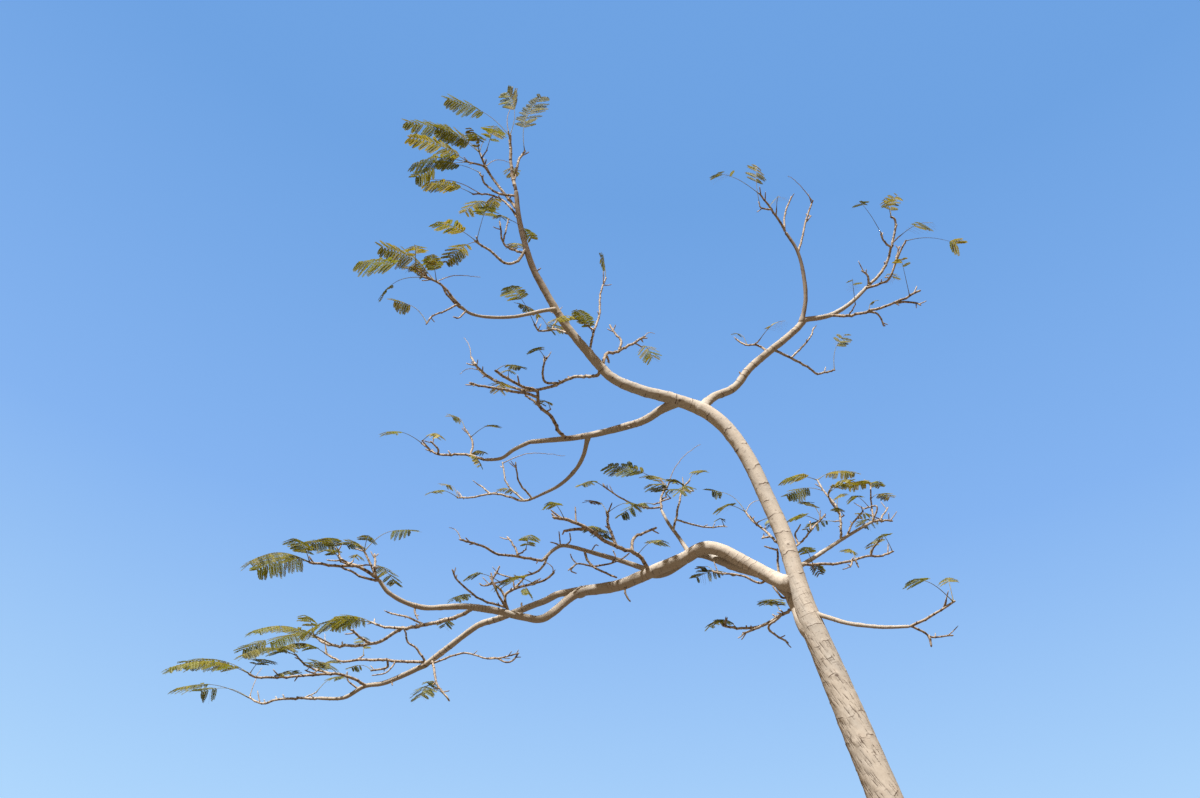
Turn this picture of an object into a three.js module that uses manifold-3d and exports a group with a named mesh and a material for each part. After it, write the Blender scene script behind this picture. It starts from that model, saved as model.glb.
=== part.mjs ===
// A flame tree about 8 m tall, swept to one side by the wind: a leaning trunk with a flared foot,
// boughs that each taper along one limb, and masses of stout twigs that carry feathery fronds.
// Lengths are in millimetres and angles in degrees. +Z is up, and the origin is at the foot of the
// trunk, at ground level. A bearing of 0 points along +X, 90 along +Y and 180 downwind, along -X.

import * as THREE from 'three';
import { mergeVertices } from 'three/addons/utils/BufferGeometryUtils.js';
import Module from 'manifold-3d';

const wasm = await Module();
wasm.setup();

// Driving sizes
const clearance = 0.3; // gap between two solids that meet
const seat = 0.4; // gap at the flat joint where a limb runs on from another limb's tip
const girth = [ // place along the trunk from its buried end, and its radius there
  [0, 150], [1500, 120], [3620, 86], [4300, 71], [4600, 63], [4850, 50], [5400, 46], [6200, 44],
];
const flare = { width: 75, height: 230, lobes: 5, lobeDepth: 0.3 }; // root flare, on top of the girth
const buried = 150; // the trunk is drawn from this far below the ground and cut flat at the ground
const collar = { swell: 0.3, run: 1.2 }; // a limb is this much stouter at its foot, over this many radii
const sides = { trunk: 20, bough: 8, twig: 3 };
const pitch = { trunk: 280, bough: 150, twig: 190 }; // spacing of the rings along a limb
const taper = 0.7; // a twig's tip against its foot
const forkGirth = 0.8; // a fork's foot against its stem
const sunk = 12; // how far inside a twig's tip the roots of its fronds lie
const whole = 0.6; // the least share of a solid that its largest piece may be

// A frond: half its width is a share of its length, up to the widest; its pinnae stand a step apart
// along the leafy part, each is widest at its reach, and the width follows a part of a half sine.
const frond = {
  stalk: 4, thickness: 6, thinnest: 90, widest: 85, slim: 0.17, pinna: 180, reach: 0.8, spare: 0.3,
  sineFrom: 0.25, sineRun: 0.6, arch: 0.07, roll: 25,
};

// Shoots are short twigs with one frond each that a seeded rule adds to every mass, one behind it or
// one before it, so that the crown is full from its sides. A pair holds the least and the most.
const shoot = {
  perMass: 1, girth: 5.5, place: [0.2, 0.9], length: [80, 220], fan: [-35, 35], space: 420,
  behind: { bearing: 90, climb: [20, 45] }, before: { bearing: 270, climb: [-30, 0] },
  leaf: { length: [300, 450], share: [0.6, 0.85], rise: [-15, 5] },
};
const shootSeeds = { first: 1000, perMass: 10 };

// The trunk: straight steps that a smooth curve rounds, each [length, climb above level, bearing]
const trunkSteps = [
  [buried, 79, 195], [930, 79, 195], [930, 78, 168], [870, 78, 168], [740, 74, 190], [650, 74, 180],
  [390, 74, 180], [460, 80, 166], [300, 74, 172], [280, 72, 174], [230, 64, 174], [170, 50, 176],
  [100, 36, 172],
];

// Boughs. Each springs from another limb at a share of that limb's steps; 1 is its very tip.
const boughs = {
  leader_low: {
    on: 'trunk', at: 1, radii: [40, 31],
    steps: [[160, 20, 185], [210, 15, 185], [170, 25, 185], [120, 45, 190]],
  },
  leader_top: {
    on: 'leader_low', at: 1, radii: [30, 15],
    steps: [[110, 50, 195], [260, 50, 200], [260, 55, 210], [200, 60, 210], [310, 70, 220], [250, 75, 240]],
  },
  right_bough: {
    on: 'trunk', at: 0.97, radii: [29, 22],
    steps: [[200, 50, 45], [180, 35, 15], [230, 55, 10], [400, 45, 5], [150, 50, 0]],
  },
  right_upright: {
    on: 'right_bough', at: 0.93, radii: [17, 11],
    steps: [[180, 70, 310], [200, 75, 265], [170, 70, 235], [160, 60, 205]],
  },
  right_outer: {
    on: 'right_bough', at: 1, radii: [19, 13],
    steps: [[220, 25, 20], [220, 40, 15], [240, 50, 15]],
  },
  middle_bough: {
    on: 'leader_low', at: 0.19, radii: [28, 15],
    steps: [[140, -10, 145], [130, -20, 155], [270, -5, 160], [210, 5, 155], [300, 10, 155]],
  },
  middle_tip: {
    on: 'middle_bough', at: 1, radii: [14.5, 11],
    steps: [[120, -10, 150], [110, -15, 145], [130, 10, 155]],
  },
  middle_drop: {
    on: 'middle_bough', at: 0.68, radii: [16, 10],
    steps: [[150, -30, 105], [140, -15, 115], [200, 0, 120], [230, 5, 130]],
  },
  low_bough: {
    on: 'trunk', at: 0.55, radii: [50, 33],
    steps: [
      [170, 45, 115], [170, 55, 150], [190, 40, 155], [160, 30, 160], [120, 15, 155],
      [120, -15, 150], [170, -15, 160], [260, -15, 160], [250, 0, 160],
    ],
  },
  low_twin: {
    on: 'low_bough', at: 0.26, radii: [27, 20],
    steps: [[160, 15, 140], [310, 30, 145], [120, -10, 145], [110, -20, 150], [90, 0, 155], [90, 40, 155]],
  },
  low_reach: {
    on: 'low_bough', at: 1, radii: [23, 20],
    steps: [
      [140, 5, 155], [130, -10, 150], [310, -10, 155],
      [160, -5, 150], [280, -25, 150], [140, -25, 150],
    ],
  },
  low_end: {
    on: 'low_reach', at: 1, radii: [19, 11],
    steps: [[300, -10, 150], [170, 0, 155], [170, -15, 150], [230, 10, 150]],
  },
  low_fork: {
    on: 'low_bough', at: 0.99, radii: [26, 20],
    steps: [[110, -35, 215], [240, -45, 205], [130, -5, 195], [150, 5, 200], [190, 0, 200]],
  },
  low_crest: {
    on: 'low_fork', at: 1, radii: [19.5, 12],
    steps: [[130, -15, 210], [130, -15, 210], [120, 5, 205], [110, 20, 210], [90, 45, 210]],
  },
  sail_branch: {
    on: 'low_twin', at: 1, radii: [18, 10],
    steps: [[150, 30, 155], [160, 10, 195], [230, 0, 210], [110, -30, 220], [140, -50, 220]],
  },
  low_riser: {
    on: 'low_bough', at: 0.64, radii: [14, 9],
    steps: [[170, 60, 135], [140, 60, 145], [130, 65, 135]],
  },
  back_bough: {
    on: 'low_bough', at: 0.14, radii: [17, 10],
    steps: [[440, 40, 60], [370, 35, 55], [460, 35, 55], [490, 35, 50]],
  },
  side_branch: {
    on: 'trunk', at: 0.54, radii: [14, 9],
    steps: [[170, -30, 325], [130, -30, 315], [170, -20, 325], [160, -15, 320]],
  },
  left_long: {
    on: 'leader_top', at: 0.4, radii: [14, 9],
    steps: [[130, -35, 230], [250, -35, 215], [180, -20, 205], [120, -10, 210], [80, 15, 220]],
  },
};

// Masses of foliage. The stem and its forks run in steps, as a bough does. A frond is
// [share along its twig, length, climb, bearing, share of its length in leaf].
const masses = {
  crown_tip: {
    on: 'leader_top', at: 1, radius: 14,
    steps: [[180, 75, 220], [260, 75, 255]],
    fronds: [[1, 580, 40, 180, 0.5], [1, 450, 85, 165, 0.45]],
    forks: [{ at: 0.15, steps: [[240, 80, 65], [150, 70, 40]], fronds: [[1, 560, 80, 0, 0.6]] }],
  },
  crown_left: {
    on: 'leader_top', at: 0.9, radius: 11,
    steps: [[320, 60, 160], [220, 65, 165], [180, 70, 160]],
    fronds: [
      [1, 620, 30, 180, 0.8], [1, 420, 40, 175, 0.7],
      [1, 340, -25, 270, 0.6], [1, 360, 65, 40, 0.35],
    ],
    forks: [
      {
        at: 0.62, steps: [[80, 15, 230], [120, -10, 210]],
        fronds: [[1, 440, -30, 210, 0.8], [1, 420, 5, 155, 0.35]],
      },
    ],
  },
  crown_arch: {
    on: 'leader_top', at: 0.85, radius: 9,
    steps: [[290, 60, 140], [210, 45, 145], [150, 25, 155]],
    fronds: [[1, 400, -20, 220, 0.75], [0.6, 300, 25, 110, 0.7]],
    forks: [],
  },
  crown_spur: {
    on: 'leader_top', at: 0.73, radius: 11,
    steps: [[150, -65, 220], [100, -35, 210], [130, 25, 210], [110, 15, 215]],
    fronds: [[1, 360, -15, 230, 0.7], [1, 360, 10, 130, 0.7], [1, 400, -10, 285, 0.4]],
    forks: [],
  },
  crown_fork: {
    on: 'leader_top', at: 0.71, radius: 9,
    steps: [[160, 40, 140], [190, 50, 135], [250, 75, 130]],
    fronds: [[1, 320, 50, 95, 0.6]],
    forks: [{ at: 0.6, steps: [[140, 75, 75], [140, 80, 65]], fronds: [[1, 300, 10, 60, 0.4]] }],
  },
  left_long_spray: {
    on: 'left_long', at: 1, radius: 9,
    steps: [[50, 25, 225], [120, 40, 210], [140, 0, 215]],
    fronds: [
      [1, 460, -20, 225, 0.6], [0.7, 460, 40, 175, 0.85], [0.65, 300, -10, 270, 0.7],
      [1, 300, 45, 125, 0.5], [0.9, 360, -45, 220, 0.25],
    ],
    forks: [
      {
        at: 0.05, steps: [[120, -50, 220], [120, -45, 215], [90, -65, 230]],
        fronds: [[1, 360, 45, 155, 0.4]],
      },
    ],
  },
  leader_inner: {
    on: 'leader_top', at: 0.27, radius: 9,
    steps: [[200, 40, 140], [170, 25, 135], [120, 55, 130]],
    fronds: [[1, 420, 0, 250, 0.45], [0.55, 340, 50, 165, 0.6]],
    forks: [{ at: 0.5, steps: [[130, 70, 45], [80, 75, 130]], fronds: [] }],
  },
  leader_upright: {
    on: 'leader_top', at: 0.17, radius: 9,
    steps: [[240, 70, 70], [220, 70, 60], [210, 75, 85], [230, 70, 60]],
    fronds: [[1, 300, 70, 110, 0.75], [0.25, 300, -5, 250, 0.8]],
    forks: [{ at: 0.3, steps: [[90, 50, 125], [100, 60, 140]], fronds: [] }],
  },
  leader_right: {
    on: 'leader_low', at: 0.97, radius: 12,
    steps: [[130, 65, 70], [90, 55, 60], [110, 35, 45], [340, 45, 40]],
    fronds: [],
    forks: [
      { at: 0.5, steps: [[100, 75, 50], [80, 60, 150], [110, 65, 150]], fronds: [] },
    ],
  },
  inner_left: {
    on: 'leader_low', at: 0.97, radius: 12,
    steps: [
      [70, -15, 120], [220, 25, 135], [170, 0, 145], [200, 15, 140], [200, 30, 145], [330, 40, 145],
      [290, 55, 135],
    ],
    fronds: [],
    forks: [
      { at: 0.28, steps: [[110, 20, 170], [230, 80, 90]], fronds: [[1, 280, -25, 255, 0.6]] },
    ],
  },
  middle_rise: {
    on: 'middle_bough', at: 0.78, radius: 13,
    steps: [
      [90, -5, 210], [140, 45, 225], [110, 10, 230], [90, 45, 260], [140, -10, 225], [130, 5, 220],
      [80, 0, 230],
    ],
    fronds: [[1, 300, 35, 55, 0.5], [0.85, 260, -25, 275, 0.5]],
    forks: [
      { at: 0.5, steps: [[90, -10, 225], [130, -5, 205], [160, -10, 210], [110, -10, 215]], fronds: [] },
      { at: 0.35, steps: [[150, 50, 145], [110, 45, 145]], fronds: [] },
    ],
  },
  middle_spray: {
    on: 'middle_tip', at: 1, radius: 10.5,
    steps: [[180, 30, 150], [240, 20, 145], [100, 35, 155], [120, 45, 155]],
    fronds: [[1, 360, -15, 235, 0.4], [0.2, 250, 35, 70, 0.8], [0.25, 240, -45, 310, 0.7]],
    forks: [
      {
        at: 0.2, steps: [[140, 75, 90], [170, 60, 145]],
        fronds: [[1, 300, 45, 125, 0.4], [0.6, 300, -10, 310, 0.4]],
      },
    ],
  },
  drop_spray: {
    on: 'middle_drop', at: 1, radius: 9.5,
    steps: [[150, 10, 135], [140, 30, 145], [160, 25, 150], [180, 10, 145], [150, 15, 150]],
    fronds: [[1, 320, -20, 240, 0.4], [1, 300, 45, 125, 0.3]],
    forks: [
      { at: 0.08, steps: [[140, 45, 210], [140, 65, 240]], fronds: [] },
      { at: 0.18, steps: [[210, 50, 160], [200, 75, 145]], fronds: [] },
      { at: 0.6, steps: [[170, 45, 140]], fronds: [] },
    ],
  },
  right_upright_spray: {
    on: 'right_upright', at: 1, radius: 10,
    steps: [[100, 40, 230], [120, 40, 220], [100, 40, 215]],
    fronds: [[1, 420, -10, 220, 0.35]],
    forks: [
      { at: 0.02, steps: [[180, 80, 50], [210, 70, 20]], fronds: [] },
      { at: 0.55, steps: [[80, -15, 205], [30, 20, 215]], fronds: [[1, 420, 85, 60, 0.5]] },
    ],
  },
  right_upright_fork: {
    on: 'right_upright', at: 0.72, radius: 8.5,
    steps: [[200, 70, 35], [180, 75, 25], [200, 70, 0]],
    fronds: [],
    forks: [{ at: 0.6, steps: [[140, 55, 40]], fronds: [] }],
  },
  right_outer_spray: {
    on: 'right_outer', at: 1, radius: 12,
    steps: [[190, 50, 0], [210, 65, 345], [210, 70, 310], [60, 40, 210]],
    fronds: [[1, 340, 65, 40, 0.8], [1, 300, -15, 250, 0.6]],
    forks: [
      { at: 0.6, steps: [[90, 10, 220], [60, 65, 245]], fronds: [[1, 360, 5, 235, 0.15]] },
    ],
  },
  right_outer_fork: {
    on: 'right_outer', at: 0.96, radius: 10,
    steps: [[130, -20, 305], [100, -5, 305], [130, 55, 310], [150, 45, 305]],
    fronds: [[1, 420, 10, 15, 0.15]],
    forks: [{ at: 0.6, steps: [[230, 70, 20]], fronds: [] }],
  },
  right_level: {
    on: 'right_outer', at: 0.33, radius: 11,
    steps: [[160, -25, 325], [140, -10, 325], [180, 0, 330], [170, 10, 330]],
    fronds: [[0.88, 320, 10, 250, 0.3], [0.45, 180, 55, 45, 0.4]],
    forks: [
      { at: 0.4, steps: [[110, 15, 25], [100, -55, 40]], fronds: [] },
    ],
  },
  right_hanging: {
    on: 'right_bough', at: 0.7, radius: 10,
    steps: [[190, 5, 40], [160, 0, 40], [90, -5, 40], [210, 30, 35]],
    fronds: [[1, 360, 70, 15, 0.4]],
    forks: [{ at: 0.28, steps: [[200, 50, 40], [140, 55, 30], [120, 65, 35]], fronds: [] }],
  },
  right_back: {
    on: 'right_bough', at: 0.68, radius: 9,
    steps: [[190, 50, 110], [160, 35, 125], [140, 50, 120]],
    fronds: [[0.65, 240, 55, 110, 0.3]],
    forks: [],
  },
  riser_top: {
    on: 'low_riser', at: 1, radius: 8.5,
    steps: [[110, 75, 80], [110, 60, 35]],
    fronds: [[1, 460, 0, 215, 0.6], [1, 340, 40, 120, 0.8], [1, 340, -25, 280, 0.7]],
    forks: [
      {
        at: 0.1, steps: [[130, -25, 225], [190, -5, 220], [170, 15, 215]],
        fronds: [[1, 300, -25, 240, 0.6]],
      },
    ],
  },
  riser_right: {
    on: 'low_riser', at: 0.5, radius: 8.5,
    steps: [[180, 70, 55], [200, 70, 50], [90, 55, 20]],
    fronds: [[1, 300, 40, 60, 0.6]],
    forks: [{ at: 0.2, steps: [[220, 5, 35], [170, 15, 25]], fronds: [[1, 200, -15, 255, 0.4]] }],
  },
  low_inner: {
    on: 'low_bough', at: 0.81, radius: 14,
    steps: [[120, 20, 245], [80, 10, 225], [190, 0, 220], [150, 10, 225], [120, 5, 220], [140, -5, 215]],
    fronds: [[0.9, 300, -10, 255, 0.5], [0.4, 240, 40, 120, 0.8], [0.2, 320, -10, 295, 0.5]],
    forks: [
      {
        at: 0.4, steps: [[170, 70, 150], [110, 75, 95]],
        fronds: [[1, 300, 40, 120, 0.45], [1, 300, -15, 305, 0.3]],
      },
      { at: 0.25, steps: [[140, 65, 75], [200, 35, 30]], fronds: [] },
    ],
  },
  sail_spray: {
    on: 'sail_branch', at: 1, radius: 9.5,
    steps: [[200, -10, 220], [130, -10, 215], [110, 5, 225], [160, -5, 220]],
    fronds: [],
    forks: [{ at: 0.3, steps: [[100, 60, 125], [100, 55, 150]], fronds: [] }],
  },
  sail_under: {
    on: 'sail_branch', at: 0.9, radius: 8,
    steps: [[120, -20, 115], [100, -10, 145], [160, 5, 145], [170, 0, 150]],
    fronds: [[0.8, 300, -15, 235, 0.4]],
    forks: [{ at: 0.6, steps: [[150, 25, 160]], fronds: [[0.1, 250, -45, 310, 0.3]] }],
  },
  crossing: {
    on: 'low_fork', at: 0.72, radius: 10,
    steps: [[80, 60, 235], [50, 65, 305], [150, 10, 340], [90, 5, 335], [70, 25, 330]],
    fronds: [],
    forks: [
      { at: 0.05, steps: [[140, 40, 230], [110, 70, 205]], fronds: [] },
      {
        at: 0.08, steps: [[160, 10, 200], [160, 25, 215], [90, 45, 225]],
        fronds: [[0.35, 300, -20, 240, 0.5]],
      },
    ],
  },
  crest_spray: {
    on: 'low_crest', at: 1, radius: 11,
    steps: [[150, 10, 225], [140, -20, 225], [170, -10, 220]],
    fronds: [[1, 500, -25, 245, 0.85], [1, 440, 10, 145, 0.85], [1, 400, -10, 270, 0.8]],
    forks: [
      {
        at: 0.02, steps: [[180, 60, 155], [60, 55, 140]],
        fronds: [[1, 320, 30, 125, 0.8], [1, 300, -10, 285, 0.6], [1, 460, 40, 55, 0.35]],
      },
      {
        at: 0.3, steps: [[140, 30, 155], [90, 60, 145]],
        fronds: [[1, 340, 25, 140, 0.85], [1, 300, -15, 265, 0.85]],
      },
      { at: 0.05, steps: [[170, 75, 125]], fronds: [] },
    ],
  },
  low_middle: {
    on: 'low_fork', at: 0.95, radius: 13,
    steps: [[110, -10, 145], [170, 0, 145], [310, 5, 145], [190, -10, 145], [350, 10, 150], [180, 30, 145]],
    fronds: [[1, 520, -15, 235, 0.85], [1, 460, 10, 145, 0.7], [1, 550, 0, 160, 0.3]],
    forks: [
      {
        at: 0.4, steps: [[140, 10, 165], [130, 25, 155]],
        fronds: [[1, 500, -25, 225, 0.8], [1, 420, 15, 140, 0.8]],
      },
    ],
  },
  low_reach_spray: {
    on: 'low_reach', at: 0.96, radius: 11,
    steps: [[170, 10, 160], [150, 10, 165], [200, 10, 155], [160, 10, 150], [160, 30, 155]],
    fronds: [[1, 420, -15, 245, 0.8]],
    forks: [{ at: 0.35, steps: [[60, -30, 105], [120, 0, 155]], fronds: [[1, 260, 20, 135, 0.4]] }],
  },
  low_end_upper: {
    on: 'low_end', at: 0.47, radius: 11,
    steps: [[130, 10, 220], [110, 0, 210], [240, -15, 210], [230, -15, 215], [80, 10, 210]],
    fronds: [[1, 580, -15, 235, 0.85], [1, 480, 15, 165, 0.7], [1, 360, 35, 85, 0.7]],
    forks: [
      {
        at: 0.3, steps: [[190, 20, 165], [170, 40, 155]],
        fronds: [[1, 480, -20, 240, 0.85], [1, 360, 25, 130, 0.8]],
      },
    ],
  },
  low_end_spray: {
    on: 'low_end', at: 1, radius: 10.5,
    steps: [[330, 10, 150], [160, 0, 150], [150, 25, 155]],
    fronds: [[1, 560, -10, 230, 0.45], [1, 460, 15, 155, 0.3]],
    forks: [],
  },
  low_reach_under: {
    on: 'low_reach', at: 0.92, radius: 9,
    steps: [[120, -55, 295], [120, -65, 310], [150, -50, 335]],
    fronds: [[0.65, 220, 25, 120, 0.5], [1, 300, -10, 250, 0.2]],
    forks: [{ at: 0.1, steps: [[210, 10, 340], [210, -20, 335], [200, 0, 335]], fronds: [] }],
  },
  back_spray: {
    on: 'back_bough', at: 1, radius: 9.5,
    steps: [[160, 25, 45], [150, 20, 45]],
    fronds: [],
    forks: [
      {
        at: 0.1, steps: [[230, 65, 75], [220, 65, 65]],
        fronds: [[1, 300, -25, 230, 0.85], [1, 280, 25, 60, 0.8], [0.6, 300, 25, 45, 0.5]],
      },
      { at: 0.4, steps: [[210, 50, 45]], fronds: [] },
      { at: 0.02, steps: [[110, 55, 305], [100, 5, 150]], fronds: [[0.8, 300, -10, 235, 0.4]] },
    ],
  },
  back_rise: {
    on: 'back_bough', at: 0.69, radius: 9.5,
    steps: [[250, 65, 70], [110, 70, 105], [170, 60, 130], [150, 65, 115]],
    fronds: [[1, 360, -20, 215, 0.75], [1, 400, 25, 30, 0.7], [0.8, 380, 20, 125, 0.6]],
    forks: [
      {
        at: 0.4, steps: [[140, -25, 235], [60, 45, 245]],
        fronds: [[1, 340, -15, 285, 0.8], [1, 360, 25, 25, 0.6], [0.2, 300, 50, 65, 0.5]],
      },
    ],
  },
  back_low: {
    on: 'back_bough', at: 0.19, radius: 10,
    steps: [[210, 15, 30], [160, 20, 30], [170, 25, 30], [170, 20, 35], [100, 30, 25]],
    fronds: [
      [0.1, 280, -5, 250, 0.6], [0.1, 220, 10, 70, 0.8],
      [0.55, 280, 40, 90, 0.7], [1, 300, -5, 245, 0.4],
    ],
    forks: [],
  },
  side_spray: {
    on: 'side_branch', at: 1, radius: 8.5,
    steps: [[100, 5, 310], [170, 20, 330]],
    fronds: [[1, 360, 0, 225, 0.3], [1, 300, 50, 75, 0.4]],
    forks: [{ at: 0.02, steps: [[80, -10, 30], [70, -10, 35], [140, 15, 25]], fronds: [] }],
  },
  trunk_left: {
    on: 'trunk', at: 0.55, radius: 11,
    steps: [[210, 10, 105], [130, -5, 130], [150, 5, 125], [220, 20, 130], [90, 40, 120]],
    fronds: [[0.95, 280, -25, 245, 0.8], [0.8, 260, 30, 110, 0.6]],
    forks: [
      { at: 0.35, steps: [[100, -30, 135], [140, -30, 20]], fronds: [] },
    ],
  },
  trunk_back: {
    on: 'trunk', at: 0.6, radius: 10,
    steps: [[220, 35, 90], [350, 45, 105], [210, 45, 110], [120, 55, 115]],
    fronds: [[1, 340, -20, 230, 0.6], [1, 400, 45, 130, 0.25]],
    forks: [
      {
        at: 0.1, steps: [[290, 35, 60], [220, 45, 50], [240, 45, 45]],
        fronds: [[0.85, 340, -20, 225, 0.6], [0.9, 300, 50, 110, 0.6]],
      },
    ],
  },
  bough_under: {
    on: 'low_bough', at: 0.32, radius: 8,
    steps: [[180, -5, 100], [100, 25, 135], [200, 25, 140]],
    fronds: [[1, 200, 30, 110, 0.3]],
    forks: [],
  },
};

// Helpers for directions, routes and seeded draws

function direction(climb, bearing) {
  const c = THREE.MathUtils.degToRad(climb);
  const b = THREE.MathUtils.degToRad(bearing);
  return new THREE.Vector3(Math.cos(c) * Math.cos(b), Math.cos(c) * Math.sin(b), Math.sin(c));
}

function route(start, steps) {
  const points = [start];
  for (const [length, climb, bearing] of steps) {
    points.push(points.at(-1).clone().addScaledVector(direction(climb, bearing), length));
  }
  return new THREE.CatmullRomCurve3(points, false, 'catmullrom', 0.5);
}

// A linear congruential generator: the same seed always gives the same run of draws from 0 to 1
function seeded(seed) {
  const generator = {
    spread: 7919, offset: 101, multiplier: 1664525, increment: 1013904223, modulus: 2 ** 32,
  };
  let state = seed * generator.spread + generator.offset;
  return () => {
    state = (state * generator.multiplier + generator.increment) % generator.modulus;
    return state / generator.modulus;
  };
}

function pick([least, most], draw) {
  return THREE.MathUtils.lerp(least, most, draw());
}

function between(table, at) {
  const next = table.findIndex(([place]) => place > at);
  if (next < 0) return table.at(-1)[1];
  if (next === 0) return table[0][1];
  const [[a, low], [b, high]] = [table[next - 1], table[next]];
  return THREE.MathUtils.mapLinear(at, a, b, low, high);
}

// Helpers that make, join and cut solids

function welded(geometry) {
  geometry.deleteAttribute('normal');
  geometry.deleteAttribute('uv');
  return mergeVertices(geometry);
}

function toSolid(geometry) {
  return new wasm.Manifold(new wasm.Mesh({
    numProp: 3,
    vertProperties: geometry.attributes.position.array,
    triVerts: Uint32Array.from(geometry.index.array),
  }));
}

function ringCount(limb) {
  return Math.max(1, Math.round(limb.curve.getLength() / limb.pitch));
}

// The middle of a limb at a share of its length, on the straight run between two rings. It stays a
// little short of the tip, so that what grows there has its root inside the wood.
function perch(limb, share) {
  const rings = ringCount(limb);
  const place = rings * Math.min(share, 1 - sunk / limb.curve.getLength());
  const ring = Math.min(Math.floor(place), rings - 1);
  const from = limb.curve.getPointAt(ring / rings);
  return from.lerp(limb.curve.getPointAt((ring + 1) / rings), place - ring);
}

// A limb: a cylinder whose rings are set one by one along the route. Its foot can be cut square to
// the limb that it runs on from, and grow makes the copy that cuts its neighbours clear of it.
function sweep(limb, grow = 0) {
  const length = limb.curve.getLength();
  const rings = ringCount(limb);
  const { tangents, normals, binormals } = limb.curve.computeFrenetFrames(rings);
  const shape = welded(new THREE.CylinderGeometry(1, 1, 1, limb.sides, rings));
  const place = shape.attributes.position;
  const unit = new THREE.Vector3();
  for (let i = 0; i < place.count; i++) {
    unit.fromBufferAttribute(place, i);
    const ring = Math.round((unit.y + 0.5) * rings);
    const radius = limb.radiusAt(length * ring / rings, Math.atan2(unit.z, unit.x)) + grow;
    const across = new THREE.Vector3()
      .addScaledVector(binormals[ring], unit.x)
      .addScaledVector(normals[ring], unit.z);
    if (ring === 0 && limb.square) {
      across.addScaledVector(limb.square, -across.dot(limb.square));
    }
    const longer = (ring === rings) - (ring === 0);
    const point = limb.curve.getPointAt(ring / rings)
      .addScaledVector(across, radius)
      .addScaledVector(tangents[ring], grow * longer);
    place.setXYZ(i, point.x, point.y, point.z);
  }
  return toSolid(shape);
}

// A frond: a thin arched blade, ridged below along its rib and cut in between its pinnae, on a bare
// stalk. It is a three-sided cylinder whose rings are set along the rib, wide at each pinna's tip.
function frondBlade(root, [, length, climb, bearing, leaf], rollDraw) {
  const along = direction(climb, bearing);
  const level = direction(0, bearing + 90);
  const roll = THREE.MathUtils.degToRad(frond.roll * (2 * rollDraw - 1));
  const across = level.clone().applyAxisAngle(along, roll);
  const up = new THREE.Vector3().crossVectors(along, across);
  const lift = new THREE.Vector3().crossVectors(along, level);
  const start = length * (1 - leaf);
  const count = Math.max(2, Math.round(length * leaf / frond.pinna));
  const step = length * leaf / (count + frond.spare);
  const half = Math.min(frond.widest, length * frond.slim);
  const rings = [[0, frond.stalk]]; // place of the rib and half the width, from the root outwards
  for (let k = 0; k < count; k++) {
    rings.push([start + k * step, frond.stalk]);
    const turn = frond.sineFrom + frond.sineRun * (k + 0.5) / count;
    rings.push([start + (k + frond.reach) * step, half * Math.sin(Math.PI * turn)]);
  }
  rings.push([length, frond.stalk / 2]);
  const depth = Math.max(frond.thickness, length / frond.thinnest);
  const blade = welded(new THREE.CylinderGeometry(1, 1, 1, 3, rings.length - 1));
  const place = blade.attributes.position;
  const unit = new THREE.Vector3();
  for (let i = 0; i < place.count; i++) {
    unit.fromBufferAttribute(place, i);
    const [x, width] = rings[Math.round((unit.y + 0.5) * (rings.length - 1))];
    const s = x / length;
    const point = root.clone()
      .addScaledVector(along, x)
      .addScaledVector(across, width * unit.x)
      .addScaledVector(up, depth * -unit.z)
      .addScaledVector(lift, frond.arch * length * Math.sin(Math.PI * s));
    place.setXYZ(i, point.x, point.y, point.z);
  }
  return toSolid(blade);
}

const made = []; // every finished node: its name, solid, the copy that cuts others, and its box

function boxOf(solid, grow = 0) {
  const { min, max } = solid.boundingBox();
  return new THREE.Box3(new THREE.Vector3(...min), new THREE.Vector3(...max)).expandByScalar(grow);
}

function near(solid) {
  const box = boxOf(solid, clearance);
  return made.filter((other) => other.box.intersectsBox(box));
}

function touches(solid) {
  return near(solid).some((other) => solid.minGap(other.solid, clearance) < clearance);
}

function cutClear(solid) {
  for (const other of near(solid)) {
    if (other.cutter) solid = solid.subtract(other.cutter);
  }
  return solid;
}

// The largest piece of a solid: a scrap that a cut leaves, and a sealed hollow, are dropped
function largest(name, solid) {
  const pieces = solid.decompose().sort((a, b) => b.volume() - a.volume());
  if (pieces[0].volume() < whole * solid.volume()) throw new Error(`${name} is cut in two`);
  return pieces[0];
}

const bark = new THREE.MeshStandardMaterial({
  color: '#c4ae90', roughness: 0.9, metalness: 0, flatShading: true,
});
const foliage = new THREE.MeshStandardMaterial({
  color: '#77762f', roughness: 0.8, metalness: 0, flatShading: true,
});

const tree = new THREE.Group();

function addNode(name, solid, cutter, root, material) {
  const { vertProperties, triVerts } = solid.getMesh();
  const geometry = new THREE.BufferGeometry();
  geometry.setAttribute('position', new THREE.Float32BufferAttribute(Array.from(vertProperties), 3));
  geometry.setIndex(Array.from(triVerts));
  geometry.translate(-root.x, -root.y, -root.z);
  geometry.computeVertexNormals();
  const mesh = new THREE.Mesh(geometry, material);
  mesh.name = name;
  mesh.position.copy(root);
  tree.add(mesh);
  made.push({ name, solid, cutter, box: boxOf(solid) });
}

// Trunk

const limbs = {};

function makeTrunk() {
  const foot = direction(trunkSteps[0][1], trunkSteps[0][2]).multiplyScalar(-buried);
  const limb = {
    curve: route(foot, trunkSteps), sides: sides.trunk, pitch: pitch.trunk,
    radiusAt(along, angle) {
      const height = Math.max(0, along - buried);
      const lobe = 1 + flare.lobeDepth * Math.cos(flare.lobes * angle);
      return between(girth, along) + flare.width * lobe * Math.exp(-height / flare.height);
    },
  };
  const size = 4 * buried;
  const below = welded(new THREE.BoxGeometry(size, size, size));
  below.translate(0, 0, -size / 2);
  limbs.trunk = limb;
  addNode('trunk', sweep(limb).subtract(toSolid(below)), sweep(limb, clearance), new THREE.Vector3(), bark);
}

// Boughs

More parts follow.
